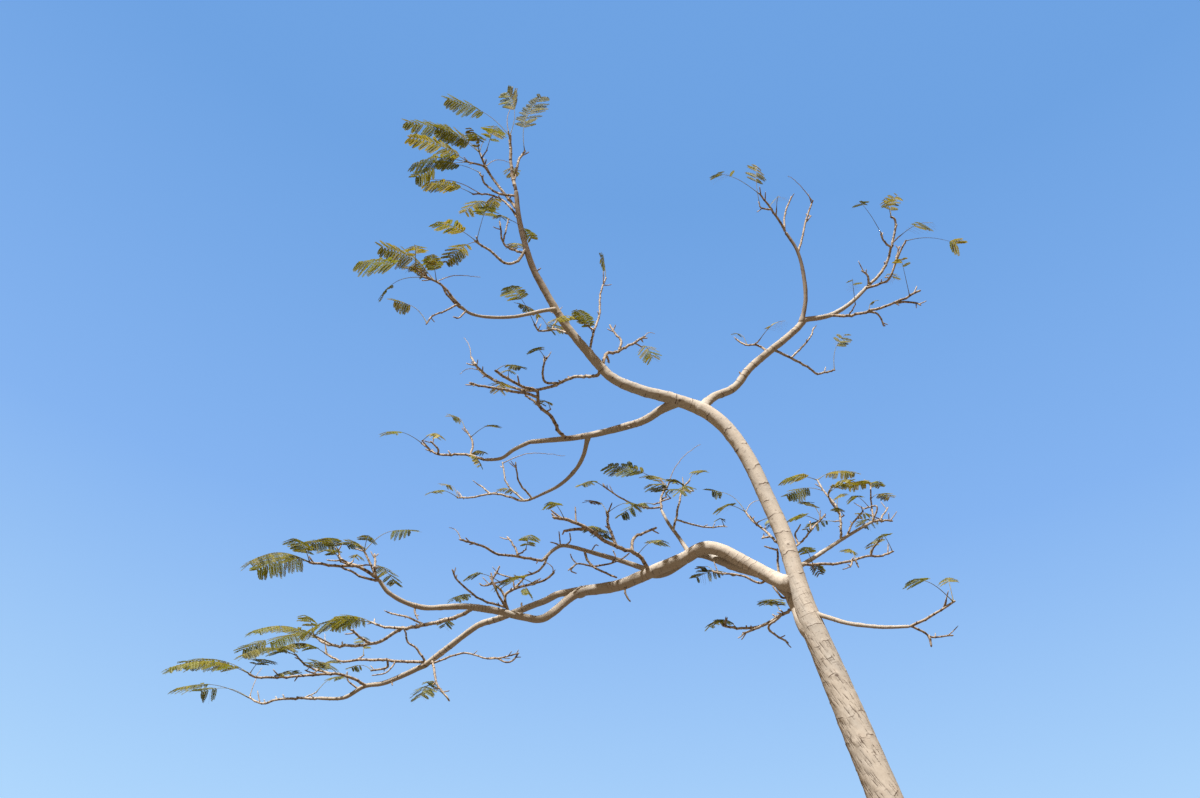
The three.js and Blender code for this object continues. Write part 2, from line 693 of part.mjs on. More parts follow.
function springing({ on, at }) {
  const curve = limbs[on].curve;
  const ahead = curve.getTangent(at);
  if (at < 1) return { start: curve.getPoint(at), square: null };
  return { start: curve.getPoint(1).addScaledVector(ahead, seat), square: ahead };
}

function makeBough(name, row) {
  const { start, square } = springing(row);
  const [foot, tip] = row.radii;
  const curve = route(start, row.steps);
  const length = curve.getLength();
  const buriedRun = square ? 0 : limbs[row.on].girthHere(row.at);
  const limb = {
    curve, square, sides: sides.bough, pitch: pitch.bough,
    radiusAt(along) {
      const clear = Math.max(0, along - buriedRun);
      const swell = square ? 0 : collar.swell * Math.exp(-clear / (collar.run * foot));
      return THREE.MathUtils.lerp(foot, tip, along / length) + foot * swell;
    },
    girthHere: (at) => THREE.MathUtils.lerp(foot, tip, at),
  };
  limbs[name] = limb;
  addNode(name, largest(name, cutClear(sweep(limb))), sweep(limb, clearance), start, bark);
}

// Masses of foliage

function makeTwig(start, steps, foot, square = null) {
  const curve = route(start, steps);
  const length = curve.getLength();
  const radiusAt = (along) => foot * THREE.MathUtils.lerp(1, taper, along / length);
  return { curve, square, sides: sides.twig, pitch: pitch.twig, radiusAt };
}

// One shoot, or nothing where it would touch a limb or another mass, or leave the space of its own
function makeShoot(stem, space, draw, way) {
  const at = pick(shoot.place, draw);
  const climb = pick(way.climb, draw);
  const bearing = way.bearing + pick(shoot.fan, draw);
  const twig = makeTwig(perch(stem, at), [[pick(shoot.length, draw), climb, bearing]], shoot.girth);
  const leafClimb = climb + pick(shoot.leaf.rise, draw);
  const leafBearing = way.bearing + pick(shoot.fan, draw);
  const leaf = [1, pick(shoot.leaf.length, draw), leafClimb, leafBearing, pick(shoot.leaf.share, draw)];
  const pair = sweep(twig).add(frondBlade(perch(twig, 1), leaf, draw()));
  return touches(pair) || !space.containsBox(boxOf(pair)) ? null : pair;
}

function makeMass(name, row, index) {
  const { start, square } = springing(row);
  const stem = makeTwig(start, row.steps, row.radius, square);
  const twigs = [stem];
  for (const fork of row.forks) {
    twigs.push(makeTwig(perch(stem, fork.at), fork.steps, row.radius * forkGirth));
  }
  const wood = cutClear(wasm.Manifold.union(twigs.map((twig) => sweep(twig))));
  const pieces = [largest(name, wood)];
  const rollDraw = seeded(index);
  const rows = [row, ...row.forks];
  rows.forEach(({ fronds }, which) => {
    for (const leaf of fronds) {
      const blade = frondBlade(perch(twigs[which], leaf[0]), leaf, rollDraw());
      if (!touches(blade)) pieces.push(blade);
    }
  });
  const space = boxOf(pieces[0], shoot.space);
  for (let i = 0; i < shoot.perMass; i++) {
    const draw = seeded(shootSeeds.first + shootSeeds.perMass * index + i);
    const extra = makeShoot(stem, space, draw, (index + i) % 2 ? shoot.before : shoot.behind);
    if (extra) pieces.push(extra);
  }
  addNode(name, largest(name, wasm.Manifold.union(pieces)), null, start, foliage);
}

makeTrunk();
limbs.trunk.girthHere = (at) => between(girth, at * limbs.trunk.curve.getLength());
Object.entries(boughs).forEach(([name, row]) => makeBough(name, row));
Object.entries(masses).forEach(([name, row], index) => makeMass(name, row, index));

export default tree;
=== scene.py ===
# %% [markdown]
# # A wind-swept flame tree
# The tree leans, and the wind has swept its crown to one side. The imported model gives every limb's
# place and size, so this lesson loads it first as a fixed frame and then dresses it: bark with real
# relief on the trunk and boughs, stout twigs with leaf scars, and fronds with all their leaflets.

# %% Load the frame
import math
from collections import namedtuple
import bpy
import numpy as np
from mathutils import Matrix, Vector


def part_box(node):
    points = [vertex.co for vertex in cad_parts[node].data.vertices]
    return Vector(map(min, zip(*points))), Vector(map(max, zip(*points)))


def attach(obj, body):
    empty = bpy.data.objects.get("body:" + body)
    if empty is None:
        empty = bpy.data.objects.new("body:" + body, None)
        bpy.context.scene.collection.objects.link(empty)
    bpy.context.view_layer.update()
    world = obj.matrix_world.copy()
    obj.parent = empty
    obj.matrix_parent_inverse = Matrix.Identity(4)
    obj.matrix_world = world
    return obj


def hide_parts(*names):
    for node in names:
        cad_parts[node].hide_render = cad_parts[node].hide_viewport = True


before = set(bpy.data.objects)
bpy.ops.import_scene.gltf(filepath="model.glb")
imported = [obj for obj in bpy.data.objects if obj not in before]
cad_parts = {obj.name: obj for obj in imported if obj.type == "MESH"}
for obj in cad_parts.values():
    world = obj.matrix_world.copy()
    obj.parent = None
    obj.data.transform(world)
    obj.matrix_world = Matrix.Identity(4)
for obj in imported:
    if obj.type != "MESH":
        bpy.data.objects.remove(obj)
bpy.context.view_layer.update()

# %% [markdown]
# ## Where the limbs run
# Every limb and twig starts on another one and runs in straight steps, which a smooth curve rounds.
# A step is [length, climb above level, bearing], in millimetres and degrees. A bearing of 0 points
# along +X, 90 along +Y, away from the camera, and 180 downwind. These are the same steps that shape
# the solids, so each finer piece lies where its solid lies.

# %% The trunk's line and girth
mm = 0.001
buried = 150
trunk_steps = [
    [buried, 79, 195], [930, 79, 195], [930, 78, 168], [870, 78, 168], [740, 74, 190], [650, 74, 180],
    [390, 74, 180], [460, 80, 166], [300, 74, 172], [280, 72, 174], [230, 64, 174], [170, 50, 176],
    [100, 36, 172],
]
trunk_places = [0, 1500, 3620, 4300, 4600, 4850, 5400, 6200]
trunk_girth = [150, 120, 86, 71, 63, 50, 46, 44]
flare = {"width": 75, "height": 230, "lobes": 5, "lobe_depth": 0.3}

# %% The boughs: where each springs, its radius at the foot and the tip, and its steps
Bough = namedtuple("Bough", "on at radii steps")
boughs = {
    "leader_low": Bough("trunk", 1, [40, 31], [[160, 20, 185], [210, 15, 185], [170, 25, 185],
        [120, 45, 190]]),
    "leader_top": Bough("leader_low", 1, [30, 15], [[110, 50, 195], [260, 50, 200], [260, 55, 210],
        [200, 60, 210], [310, 70, 220], [250, 75, 240]]),
    "right_bough": Bough("trunk", 0.97, [29, 22], [[200, 50, 45], [180, 35, 15], [230, 55, 10],
        [400, 45, 5], [150, 50, 0]]),
    "right_upright": Bough("right_bough", 0.93, [17, 11], [[180, 70, 310], [200, 75, 265], [170, 70, 235],
        [160, 60, 205]]),
    "right_outer": Bough("right_bough", 1, [19, 13], [[220, 25, 20], [220, 40, 15], [240, 50, 15]]),
    "middle_bough": Bough("leader_low", 0.19, [28, 15], [[140, -10, 145], [130, -20, 155], [270, -5, 160],
        [210, 5, 155], [300, 10, 155]]),
    "middle_tip": Bough("middle_bough", 1, [14.5, 11], [[120, -10, 150], [110, -15, 145],
        [130, 10, 155]]),
    "middle_drop": Bough("middle_bough", 0.68, [16, 10], [[150, -30, 105], [140, -15, 115], [200, 0, 120],
        [230, 5, 130]]),
    "low_bough": Bough("trunk", 0.5694, [46, 33], [[145, 24, 113], [130, 37, 131], [185, 38, 163],
        [158, 36, 165], [113, 15, 164], [117, -13, 146], [170, -15, 160], [260, -15, 160],
        [250, 0, 160]]),
    "low_web": Bough("trunk", 0.512, [46, 48], [[117, 59, 139], [106, 58, 100], [86, 53, 101],
        [97, 61, 108], [86, 50, 165]]),
    "low_twin": Bough("low_bough", 0.26, [27, 20], [[142, 22, 153], [310, 33, 145], [120, -10, 145],
        [110, -20, 150], [90, 0, 155], [90, 40, 155]]),
    "low_reach": Bough("low_bough", 1, [23, 20], [[140, 5, 155], [130, -10, 150], [310, -10, 155],
        [160, -5, 150], [280, -25, 150], [140, -25, 150]]),
    "low_end": Bough("low_reach", 1, [19, 11], [[300, -10, 150], [170, 0, 155], [170, -15, 150],
        [230, 10, 150]]),
    "low_fork": Bough("low_bough", 0.99, [26, 20], [[110, -35, 215], [240, -45, 205], [130, -5, 195],
        [150, 5, 200], [190, 0, 200]]),
    "low_crest": Bough("low_fork", 1, [19.5, 12], [[130, -15, 210], [130, -15, 210], [120, 5, 205],
        [110, 20, 210], [90, 45, 210]]),
    "sail_branch": Bough("low_twin", 1, [18, 10], [[150, 30, 155], [160, 10, 195], [230, 0, 210],
        [110, -30, 220], [140, -50, 220]]),
    "low_riser": Bough("low_bough", 0.64, [14, 9], [[170, 60, 135], [140, 60, 145], [130, 65, 135]]),
    "back_bough": Bough("trunk", 0.583, [17, 10], [[453, 30, 69], [370, 35, 55], [460, 35, 55],
        [490, 35, 50]]),
    "side_branch": Bough("trunk", 0.54, [14, 9], [[170, -30, 325], [130, -30, 315], [170, -20, 325],
        [160, -15, 320]]),
    "left_long": Bough("leader_top", 0.4, [14, 9], [[130, -35, 230], [250, -35, 215], [180, -20, 205],
        [120, -10, 210], [80, 15, 220]]),
}

# %% [markdown]
# A mass of foliage is a stem with fronds and forks, and a fork carries fronds too. A frond is
# [share along its twig, length, climb, bearing, share of its length in leaf], and 0 in leaf is a
# spent stalk. Where the photograph shows a frond's tint, its row ends with the names of the
# tints at its foot and tip, which are partly its own colour and partly painted light.

# %% The masses of foliage
Mass = namedtuple("Mass", "on at radius steps fronds forks", defaults=[()])
Fork = namedtuple("Fork", "at steps fronds", defaults=[()])
Frond = namedtuple("Frond", "at length climb bearing in_leaf tints", defaults=[""])
masses = {
    "crown_tip": Mass("leader_top", 1, 14,
        [[180, 75, 220], [260, 75, 255]],
        [[1, 580, 40, 180, 0.5], [1, 450, 85, 165, 0.45], [1, 350, 85, 0, 0]],
        [Fork(0.15, [[240, 80, 65], [150, 70, 40]], [[1, 560, 80, 0, 0.6]])]),
    "crown_left": Mass("leader_top", 0.9, 11,
        [[320, 60, 160], [220, 65, 165], [180, 70, 160]],
        [[1, 620, 30, 180, 0.8], [1, 420, 40, 175, 0.7, "gold olive"], [1, 340, -25, 270, 0.6],
         [1, 360, 65, 40, 0.35], [0.75, 300, 45, 45, 0]],
        [Fork(0.62, [[80, 15, 230], [120, -10, 210]], [[1, 440, -30, 210, 0.8], [1, 420, 5, 155, 0.35]])]),
    "crown_arch": Mass("leader_top", 0.85, 9,
        [[290, 60, 140], [210, 45, 145], [150, 25, 155]],
        [[0.88, 490, 20, 180, 0], [1, 400, -20, 220, 0.75], [0.6, 300, 25, 110, 0.7]]),
    "crown_spur": Mass("leader_top", 0.73, 11,
        [[150, -65, 220], [100, -35, 210], [130, 25, 210], [110, 15, 215]],
        [[1, 360, -15, 230, 0.7], [1, 360, 10, 130, 0.7, "gold olive"], [1, 400, -10, 285, 0.4]]),
    "crown_fork": Mass("leader_top", 0.71, 9,
        [[160, 40, 140], [190, 50, 135], [250, 75, 130]],
        [[1, 320, 50, 95, 0.6]],
        [Fork(0.6, [[140, 75, 75], [140, 80, 65]], [[1, 300, 10, 60, 0.4]])]),
    "left_long_spray": Mass("left_long", 1, 9,
        [[50, 25, 225], [120, 40, 210], [140, 0, 215]],
        [[1, 460, -20, 225, 0.6], [0.7, 460, 40, 175, 0.85, "gold olive"], [0.65, 300, -10, 270, 0.7],
         [1, 300, 45, 125, 0.5, "gold"], [0.9, 360, -45, 220, 0.25], [0.65, 300, 30, 35, 0]],
        [Fork(0.05, [[120, -50, 220], [120, -45, 215], [90, -65, 230]], [[1, 360, 45, 155, 0.4]])]),
    "leader_inner": Mass("leader_top", 0.27, 9,
        [[200, 40, 140], [170, 25, 135], [120, 55, 130]],
        [[1, 420, 0, 250, 0.45], [0.55, 340, 50, 165, 0.6]],
        [Fork(0.5, [[130, 70, 45], [80, 75, 130]])]),
    "leader_upright": Mass("leader_top", 0.17, 9,
        [[240, 70, 70], [220, 70, 60], [210, 75, 85], [230, 70, 60]],
        [[1, 300, 70, 110, 0.75], [0.25, 300, -5, 250, 0.8]],
        [Fork(0.3, [[90, 50, 125], [100, 60, 140]])]),
    "leader_right": Mass("leader_low", 0.97, 12,
        [[130, 65, 70], [90, 55, 60], [110, 35, 45], [340, 45, 40]],
        [[1, 200, 40, 60, 0]],
        [Fork(0.5, [[100, 75, 50], [80, 60, 150], [110, 65, 150]]),
         Fork(0.25, [[60, 10, 75], [40, 0, 80]])]),
    "inner_left": Mass("leader_low", 0.97, 12,
        [[70, -15, 120], [220, 25, 135], [170, 0, 145], [200, 15, 140], [200, 30, 145], [330, 40, 145],
         [290, 55, 135]],
        [[1, 300, 60, 125, 0], [0.85, 250, -35, 235, 0]],
        [Fork(0.28, [[110, 20, 170], [230, 80, 90]], [[1, 280, -25, 255, 0.6]]),
         Fork(0.72, [[120, 10, 225], [60, 25, 220]])]),
    "middle_rise": Mass("middle_bough", 0.78, 13,
        [[90, -5, 210], [140, 45, 225], [110, 10, 230], [90, 45, 260], [140, -10, 225], [130, 5, 220],
         [80, 0, 230]],
        [[1, 300, 35, 55, 0.5], [0.85, 260, -25, 275, 0.5]],
        [Fork(0.5, [[90, -10, 225], [130, -5, 205], [160, -10, 210], [110, -10, 215]]),
         Fork(0.35, [[150, 50, 145], [110, 45, 145]])]),
    "middle_spray": Mass("middle_tip", 1, 10.5,
        [[180, 30, 150], [240, 20, 145], [100, 35, 155], [120, 45, 155]],
        [[1, 360, -15, 235, 0.4], [0.2, 250, 35, 70, 0.8], [0.25, 240, -45, 310, 0.7]],
        [Fork(0.2, [[140, 75, 90], [170, 60, 145]], [[1, 300, 45, 125, 0.4], [0.6, 300, -10, 310, 0.4]]),
         Fork(0.7, [[40, 25, 280], [80, 35, 210]])]),
    "drop_spray": Mass("middle_drop", 1, 9.5,
        [[150, 10, 135], [140, 30, 145], [160, 25, 150], [180, 10, 145], [150, 15, 150]],
        [[1, 320, -20, 240, 0.4], [1, 300, 45, 125, 0.3]],
        [Fork(0.08, [[140, 45, 210], [140, 65, 240]]),
         Fork(0.18, [[210, 50, 160], [200, 75, 145]], [[1, 450, 20, 15, 0]]),
         Fork(0.6, [[170, 45, 140]])]),
    "right_upright_spray": Mass("right_upright", 1, 10,
        [[100, 40, 230], [120, 40, 220], [100, 40, 215]],
        [[1, 420, -10, 220, 0.35]],
        [Fork(0.02, [[180, 80, 50], [210, 70, 20]]),
         Fork(0.55, [[80, -15, 205], [30, 20, 215]], [[1, 420, 85, 60, 0.5]])]),
    "right_upright_fork": Mass("right_upright", 0.72, 8.5,
        [[200, 70, 35], [180, 75, 25], [200, 70, 0]],
        [[1, 360, -5, 230, 0]],
        [Fork(0.6, [[140, 55, 40]])]),
    "right_outer_spray": Mass("right_outer", 1, 12,
        [[190, 50, 0], [210, 65, 345], [210, 70, 310], [60, 40, 210]],
        [[1, 340, 65, 40, 0.8], [1, 300, -15, 250, 0.6]],
        [Fork(0.02, [[70, 65, 265], [60, 25, 205]]),
         Fork(0.6, [[90, 10, 220], [60, 65, 245]], [[1, 360, 5, 235, 0.15]])]),
    "right_outer_fork": Mass("right_outer", 0.96, 10,
        [[130, -20, 305], [100, -5, 305], [130, 55, 310], [150, 45, 305]],
        [[1, 420, 10, 15, 0.15]],
        [Fork(0.6, [[230, 70, 20]])]),
    "right_level": Mass("right_outer", 0.33, 11,
        [[160, -25, 325], [140, -10, 325], [180, 0, 330], [170, 10, 330]],
        [[0.88, 320, 10, 250, 0.3], [0.45, 180, 55, 45, 0.4]],
        [Fork(0.4, [[110, 15, 25], [100, -55, 40]]),
         Fork(0.72, [[110, -10, 345], [70, -40, 335]])]),
    "right_hanging": Mass("right_bough", 0.7, 10,
        [[190, 5, 40], [160, 0, 40], [90, -5, 40], [210, 30, 35]],
        [[1, 360, 70, 15, 0.4]],
        [Fork(0.28, [[200, 50, 40], [140, 55, 30], [120, 65, 35]])]),
    "right_back": Mass("right_bough", 0.68, 9,
        [[190, 50, 110], [160, 35, 125], [140, 50, 120]],
        [[0.65, 240, 55, 110, 0.3]]),
    "riser_top": Mass("low_riser", 1, 8.5,
        [[110, 75, 80], [110, 60, 35]],
        [[1, 460, 0, 215, 0.6], [1, 340, 40, 120, 0.8], [1, 340, -25, 280, 0.7], [1, 420, 55, 5, 0]],
        [Fork(0.1, [[130, -25, 225], [190, -5, 220], [170, 15, 215]], [[1, 300, -25, 240, 0.6]])]),
    "riser_right": Mass("low_riser", 0.5, 8.5,
        [[180, 70, 55], [200, 70, 50], [90, 55, 20]],
        [[1, 300, 40, 60, 0.6]],
        [Fork(0.2, [[220, 5, 35], [170, 15, 25]], [[1, 200, -15, 255, 0.4]])]),
    "low_inner": Mass("low_bough", 0.81, 14,
        [[120, 20, 245], [80, 10, 225], [190, 0, 220], [150, 10, 225], [120, 5, 220], [140, -5, 215]],
        [[0.9, 300, -10, 255, 0.5], [0.4, 240, 40, 120, 0.8], [0.2, 320, -10, 295, 0.5]],
        [Fork(0.4, [[170, 70, 150], [110, 75, 95]],
              [[1, 300, 40, 120, 0.45, "dry"], [1, 300, -15, 305, 0.3]]),
         Fork(0.25, [[140, 65, 75], [200, 35, 30]]),
         Fork(0.7, [[100, -20, 210], [70, -25, 215]])]),
    "sail_spray": Mass("sail_branch", 1, 9.5,
        [[200, -10, 220], [130, -10, 215], [110, 5, 225], [160, -5, 220]],
        [[1, 200, 45, 125, 0]],
        [Fork(0.3, [[100, 60, 125], [100, 55, 150]])]),
    "sail_under": Mass("sail_branch", 0.9, 8,
        [[120, -20, 115], [100, -10, 145], [160, 5, 145], [170, 0, 150]],
        [[0.8, 300, -15, 235, 0.4]],
        [Fork(0.6, [[150, 25, 160]], [[0.1, 250, -45, 310, 0.3]])]),
    "crossing": Mass("low_fork", 0.72, 10,
        [[80, 60, 235], [50, 65, 305], [150, 10, 340], [90, 5, 335], [70, 25, 330]],
        [],
        [Fork(0.05, [[140, 40, 230], [110, 70, 205]]),
         Fork(0.08, [[160, 10, 200], [160, 25, 215], [90, 45, 225]], [[0.35, 300, -20, 240, 0.5]]),
         Fork(0.4, [[120, 55, 30]])]),
    "crest_spray": Mass("low_crest", 1, 11,
        [[150, 10, 225], [140, -20, 225], [170, -10, 220]],
        [[1, 500, -25, 245, 0.85, "olive dark"], [1, 440, 10, 145, 0.85], [1, 400, -10, 270, 0.8]],
        [Fork(0.02, [[180, 60, 155], [60, 55, 140]],
              [[1, 320, 30, 125, 0.8], [1, 300, -10, 285, 0.6], [1, 460, 40, 55, 0.35]]),
         Fork(0.3, [[140, 30, 155], [90, 60, 145]], [[1, 340, 25, 140, 0.85], [1, 300, -15, 265, 0.85]]),
         Fork(0.05, [[170, 75, 125]])]),
    "low_middle": Mass("low_fork", 0.95, 13,
        [[110, -10, 145], [170, 0, 145], [310, 5, 145], [190, -10, 145], [350, 10, 150], [180, 30, 145]],
        [[1, 520, -15, 235, 0.85], [1, 460, 10, 145, 0.7], [1, 550, 0, 160, 0.3]],
        [Fork(0.4, [[140, 10, 165], [130, 25, 155]], [[1, 500, -25, 225, 0.8], [1, 420, 15, 140, 0.8]]),
         Fork(0.62, [[100, 15, 220], [60, 25, 220]])]),
    "low_reach_spray": Mass("low_reach", 0.96, 11,
        [[170, 10, 160], [150, 10, 165], [200, 10, 155], [160, 10, 150], [160, 30, 155]],
        [[1, 300, 45, 115, 0], [1, 420, -15, 245, 0.8]],
        [Fork(0.35, [[60, -30, 105], [120, 0, 155]], [[1, 260, 20, 135, 0.4]])]),
    "low_end_upper": Mass("low_end", 0.47, 11,
        [[130, 10, 220], [110, 0, 210], [240, -15, 210], [230, -15, 215], [80, 10, 210]],
        [[1, 580, -15, 235, 0.85], [1, 480, 15, 165, 0.7], [1, 360, 35, 85, 0.7]],
        [Fork(0.3, [[190, 20, 165], [170, 40, 155]], [[1, 480, -20, 240, 0.85], [1, 360, 25, 130, 0.8]])]),
    "low_end_spray": Mass("low_end", 1, 10.5,
        [[330, 10, 150], [160, 0, 150], [150, 25, 155]],
        [[1, 560, -10, 230, 0.45], [1, 460, 15, 155, 0.3], [1, 400, 50, 95, 0]]),
    "low_reach_under": Mass("low_reach", 0.92, 9,
        [[120, -55, 295], [120, -65, 310], [150, -50, 335]],
        [[0.65, 220, 25, 120, 0.5], [1, 300, -10, 250, 0.2]],
        [Fork(0.1, [[210, 10, 340], [210, -20, 335], [200, 0, 335]])]),
    "back_spray": Mass("back_bough", 1, 9.5,
        [[160, 25, 45], [150, 20, 45]],
        [],
        [Fork(0.1, [[230, 65, 75], [220, 65, 65]],
              [[1, 300, -25, 230, 0.85], [1, 280, 25, 60, 0.8], [0.6, 300, 25, 45, 0.5]]),
         Fork(0.4, [[210, 50, 45]]),
         Fork(0.02, [[110, 55, 305], [100, 5, 150]], [[0.8, 300, -10, 235, 0.4]])]),
    "back_rise": Mass("back_bough", 0.69, 9.5,
        [[250, 65, 70], [110, 70, 105], [170, 60, 130], [150, 65, 115]],
        [[1, 360, -20, 215, 0.75], [1, 400, 25, 30, 0.7], [0.8, 380, 20, 125, 0.6]],
        [Fork(0.4, [[140, 20, 235], [60, 50, 245]],
              [[1, 340, -15, 285, 0.8], [1, 360, 25, 25, 0.6], [0.2, 300, 50, 65, 0.5]])]),
    "back_low": Mass("back_bough", 0.19, 10,
        [[210, 15, 30], [160, 20, 30], [170, 25, 30], [170, 20, 35], [100, 30, 25]],
        [[0.1, 280, -5, 250, 0.6], [0.1, 220, 10, 70, 0.8], [0.55, 280, 40, 90, 0.7],
         [1, 300, -5, 245, 0.4]],
        [Fork(0.72, [[70, 25, 280], [60, 25, 310]]),
         Fork(0.5, [[80, -55, 240]])]),
    "side_spray": Mass("side_branch", 1, 8.5,
        [[100, 5, 310], [170, 20, 330]],
        [[1, 360, 0, 225, 0.3], [1, 300, 50, 75, 0.4]],
        [Fork(0.02, [[80, -10, 30], [70, -10, 35], [140, 15, 25]])]),
    "trunk_left": Mass("trunk", 0.55, 11,
        [[210, 10, 105], [130, -5, 130], [150, 5, 125], [220, 20, 130], [90, 40, 120]],
        [[0.95, 280, -25, 245, 0.8], [0.8, 260, 30, 110, 0.6]],
        [Fork(0.35, [[100, -30, 135], [140, -30, 20]]),
         Fork(0.5, [[120, -20, 165], [30, 10, 135]])]),
    "trunk_back": Mass("trunk", 0.6, 10,
        [[220, 35, 90], [350, 45, 105], [210, 45, 110], [120, 55, 115]],
        [[1, 340, -20, 230, 0.6], [1, 400, 45, 130, 0.25], [1, 300, 40, 50, 0]],
        [Fork(0.1, [[290, 35, 60], [220, 45, 50], [240, 45, 45]],
              [[0.85, 340, -20, 225, 0.6], [0.9, 300, 50, 110, 0.6]]),
         Fork(0.5, [[110, 20, 115]])]),
    "bough_under": Mass("low_bough", 0.24, 8,
        [[62, -55, 170], [122, 26, 175], [105, 5, 180], [66, 17, 180]],
        [[1, 200, 30, 110, 0.3]]),
}
print(len(boughs), "boughs and", len(masses), "masses of foliage")

# %% [markdown]
# ## Lines
# A branch grows in a smooth line, so its steps are rounded by a Catmull-Rom curve, which passes
# through every step's end. The curve is kept as many short straight runs, and a place on it is
# asked for by its distance from the foot, or by its share of the steps.

# %% Directions and smooth routes
def direction(climb, bearing):
    c, b = math.radians(climb), math.radians(bearing)
    return np.array([math.cos(c) * math.cos(b), math.cos(c) * math.sin(b), math.sin(c)])


def unit(vectors):
    return vectors / np.linalg.norm(vectors, axis=-1, keepdims=True)


def between(where, known, points):
    """Points at places between those that are known."""
    return np.stack([np.interp(where, known, points[:, k]) for k in range(3)], -1)


runs_per_step = 16
probe = 2 * mm        # a heading is taken between the places this far before and after


def smooth(points):
    """A Catmull-Rom curve through the points, as short straight runs."""
    before = np.vstack([2 * points[0] - points[1], points[:-1]])[:-1]
    after = np.vstack([points[1:], 2 * points[-1] - points[-2]])[1:]
    here, there = points[:-1], points[1:]
    leave, arrive = (there - before) / 2, (after - here) / 2
    w = (np.arange(runs_per_step) / runs_per_step)[None, :, None]
    here, there, leave, arrive = (side[:, None, :] for side in (here, there, leave, arrive))
    bend = (-3 * here + 3 * there - 2 * leave - arrive) * w**2
    settle = (2 * here - 2 * there + leave + arrive) * w**3
    return np.vstack([(here + leave * w + bend + settle).reshape(-1, 3), points[-1]])


class Route:
    """A line in metres, with the distance from its foot to each of its points."""

    def __init__(self, line):
        self.line = line
        self.run = np.concatenate([[0], np.cumsum(np.linalg.norm(np.diff(line, axis=0), axis=1))])
        self.length = self.run[-1]

    def place(self, along):
        return between(along, self.run, self.line)

    def distance(self, share):
        return np.interp(share * (len(self.line) - 1), np.arange(len(self.line)), self.run)

    def heading(self, along):
        return unit(self.place(along + probe) - self.place(along - probe))


def stepped(start, steps):
    """A smooth route through straight steps from a start."""
    points = [np.asarray(start, float)]
    for length, climb, bearing in steps:
        points.append(points[-1] + length * mm * direction(climb, bearing))
    return Route(smooth(np.array(points)))


# %% Where each limb runs
seat = 0.4 * mm
foot_below = -buried * mm * direction(*trunk_steps[0][1:])
routes = {"trunk": stepped(foot_below, trunk_steps)}


def springing(row):
    """Where a limb starts: inside the limb that it springs from, or just past that one's tip."""
    parent = routes[row.on]
    along = parent.distance(row.at)
    if row.at < 1:
        return parent.place(along)
    return parent.place(along) + seat * parent.heading(parent.length - probe)


for name, row in boughs.items():
    routes[name] = stepped(springing(row), row.steps)
print("trunk", round(routes["trunk"].length, 2), "m long; its tip is at", routes["trunk"].line[-1].round(2))

# %% [markdown]
# ## The camera
# The camera stands low and a little left of the trunk, and looks up at the crown. A 36 mm lens on
# a 36 mm sensor sees 1200 pixels' width at 1200 pixels' distance, which makes its sums easy.

# %% Camera
def in_scene(name, data):
    made = bpy.data.objects.new(name, data)
    bpy.context.scene.collection.objects.link(made)
    return made


eye = (-2.15, -6.0, 1.6)
look_up = 35
camera = in_scene("camera", bpy.data.cameras.new("camera"))
bpy.context.scene.camera = camera
camera.location = eye
camera.rotation_euler = (math.radians(90 + look_up), 0, 0)
camera.data.sensor_width = 36
camera.data.lens = 36
camera.data.clip_end = 100

# %% [markdown]
# ## A straight column first
# Bark runs along a limb, whichever way the limb turns. So each limb is modelled as a straight
# column on the origin: a circle is extruded ring by ring, and each ring is scaled to the limb's
# girth there. While it is straight, its own coordinates are saved as the attribute `grain`, so the
# marks of the bark can follow the limb after it is bent.

# %% Extrude a column
def column(name, heights, widths, sides):
    bpy.ops.object.select_all(action="DESELECT")
    bpy.ops.mesh.primitive_circle_add(vertices=sides, radius=widths[0], fill_type="NGON")
    piece = bpy.context.object
    piece.name = piece.data.name = name
    bpy.ops.object.mode_set(mode="EDIT")
    for low, high, old, new in zip(heights, heights[1:], widths, widths[1:]):
        bpy.ops.mesh.extrude_region_move(TRANSFORM_OT_translate={"value": (0, 0, high - low)})
        bpy.ops.transform.resize(value=(new / old, new / old, 1), center_override=(0, 0, high))
    bpy.ops.mesh.select_all(action="SELECT")
    bpy.ops.mesh.normals_make_consistent(inside=False)
    bpy.ops.object.mode_set(mode="OBJECT")
    return piece


def apply_modifier(piece, kind, **settings):
    modifier = piece.modifiers.new(kind.title(), kind)
    for key, value in settings.items():
        setattr(modifier, key, value)
    bpy.context.view_layer.objects.active = piece
    bpy.ops.object.modifier_apply(modifier=modifier.name)


def points_of(piece):
    flat = np.zeros(len(piece.data.vertices) * 3)
    piece.data.vertices.foreach_get("co", flat)
    return flat.reshape(-1, 3)


def store(piece, name, kind, values):
    attribute = piece.data.attributes.new(name, kind, "POINT")
    attribute.data.foreach_set("vector" if kind == "FLOAT_VECTOR" else "value", values.ravel())


# %% [markdown]
# ## Node maths as Python
# The marks of the bark are worked out twice: by Geometry Nodes, which move the mesh, and by the
# material, which colours it. Both kinds of tree share the Math, Noise and Voronoi nodes, so one
# small class writes them for both, and the dark lines lie exactly in the cracks.

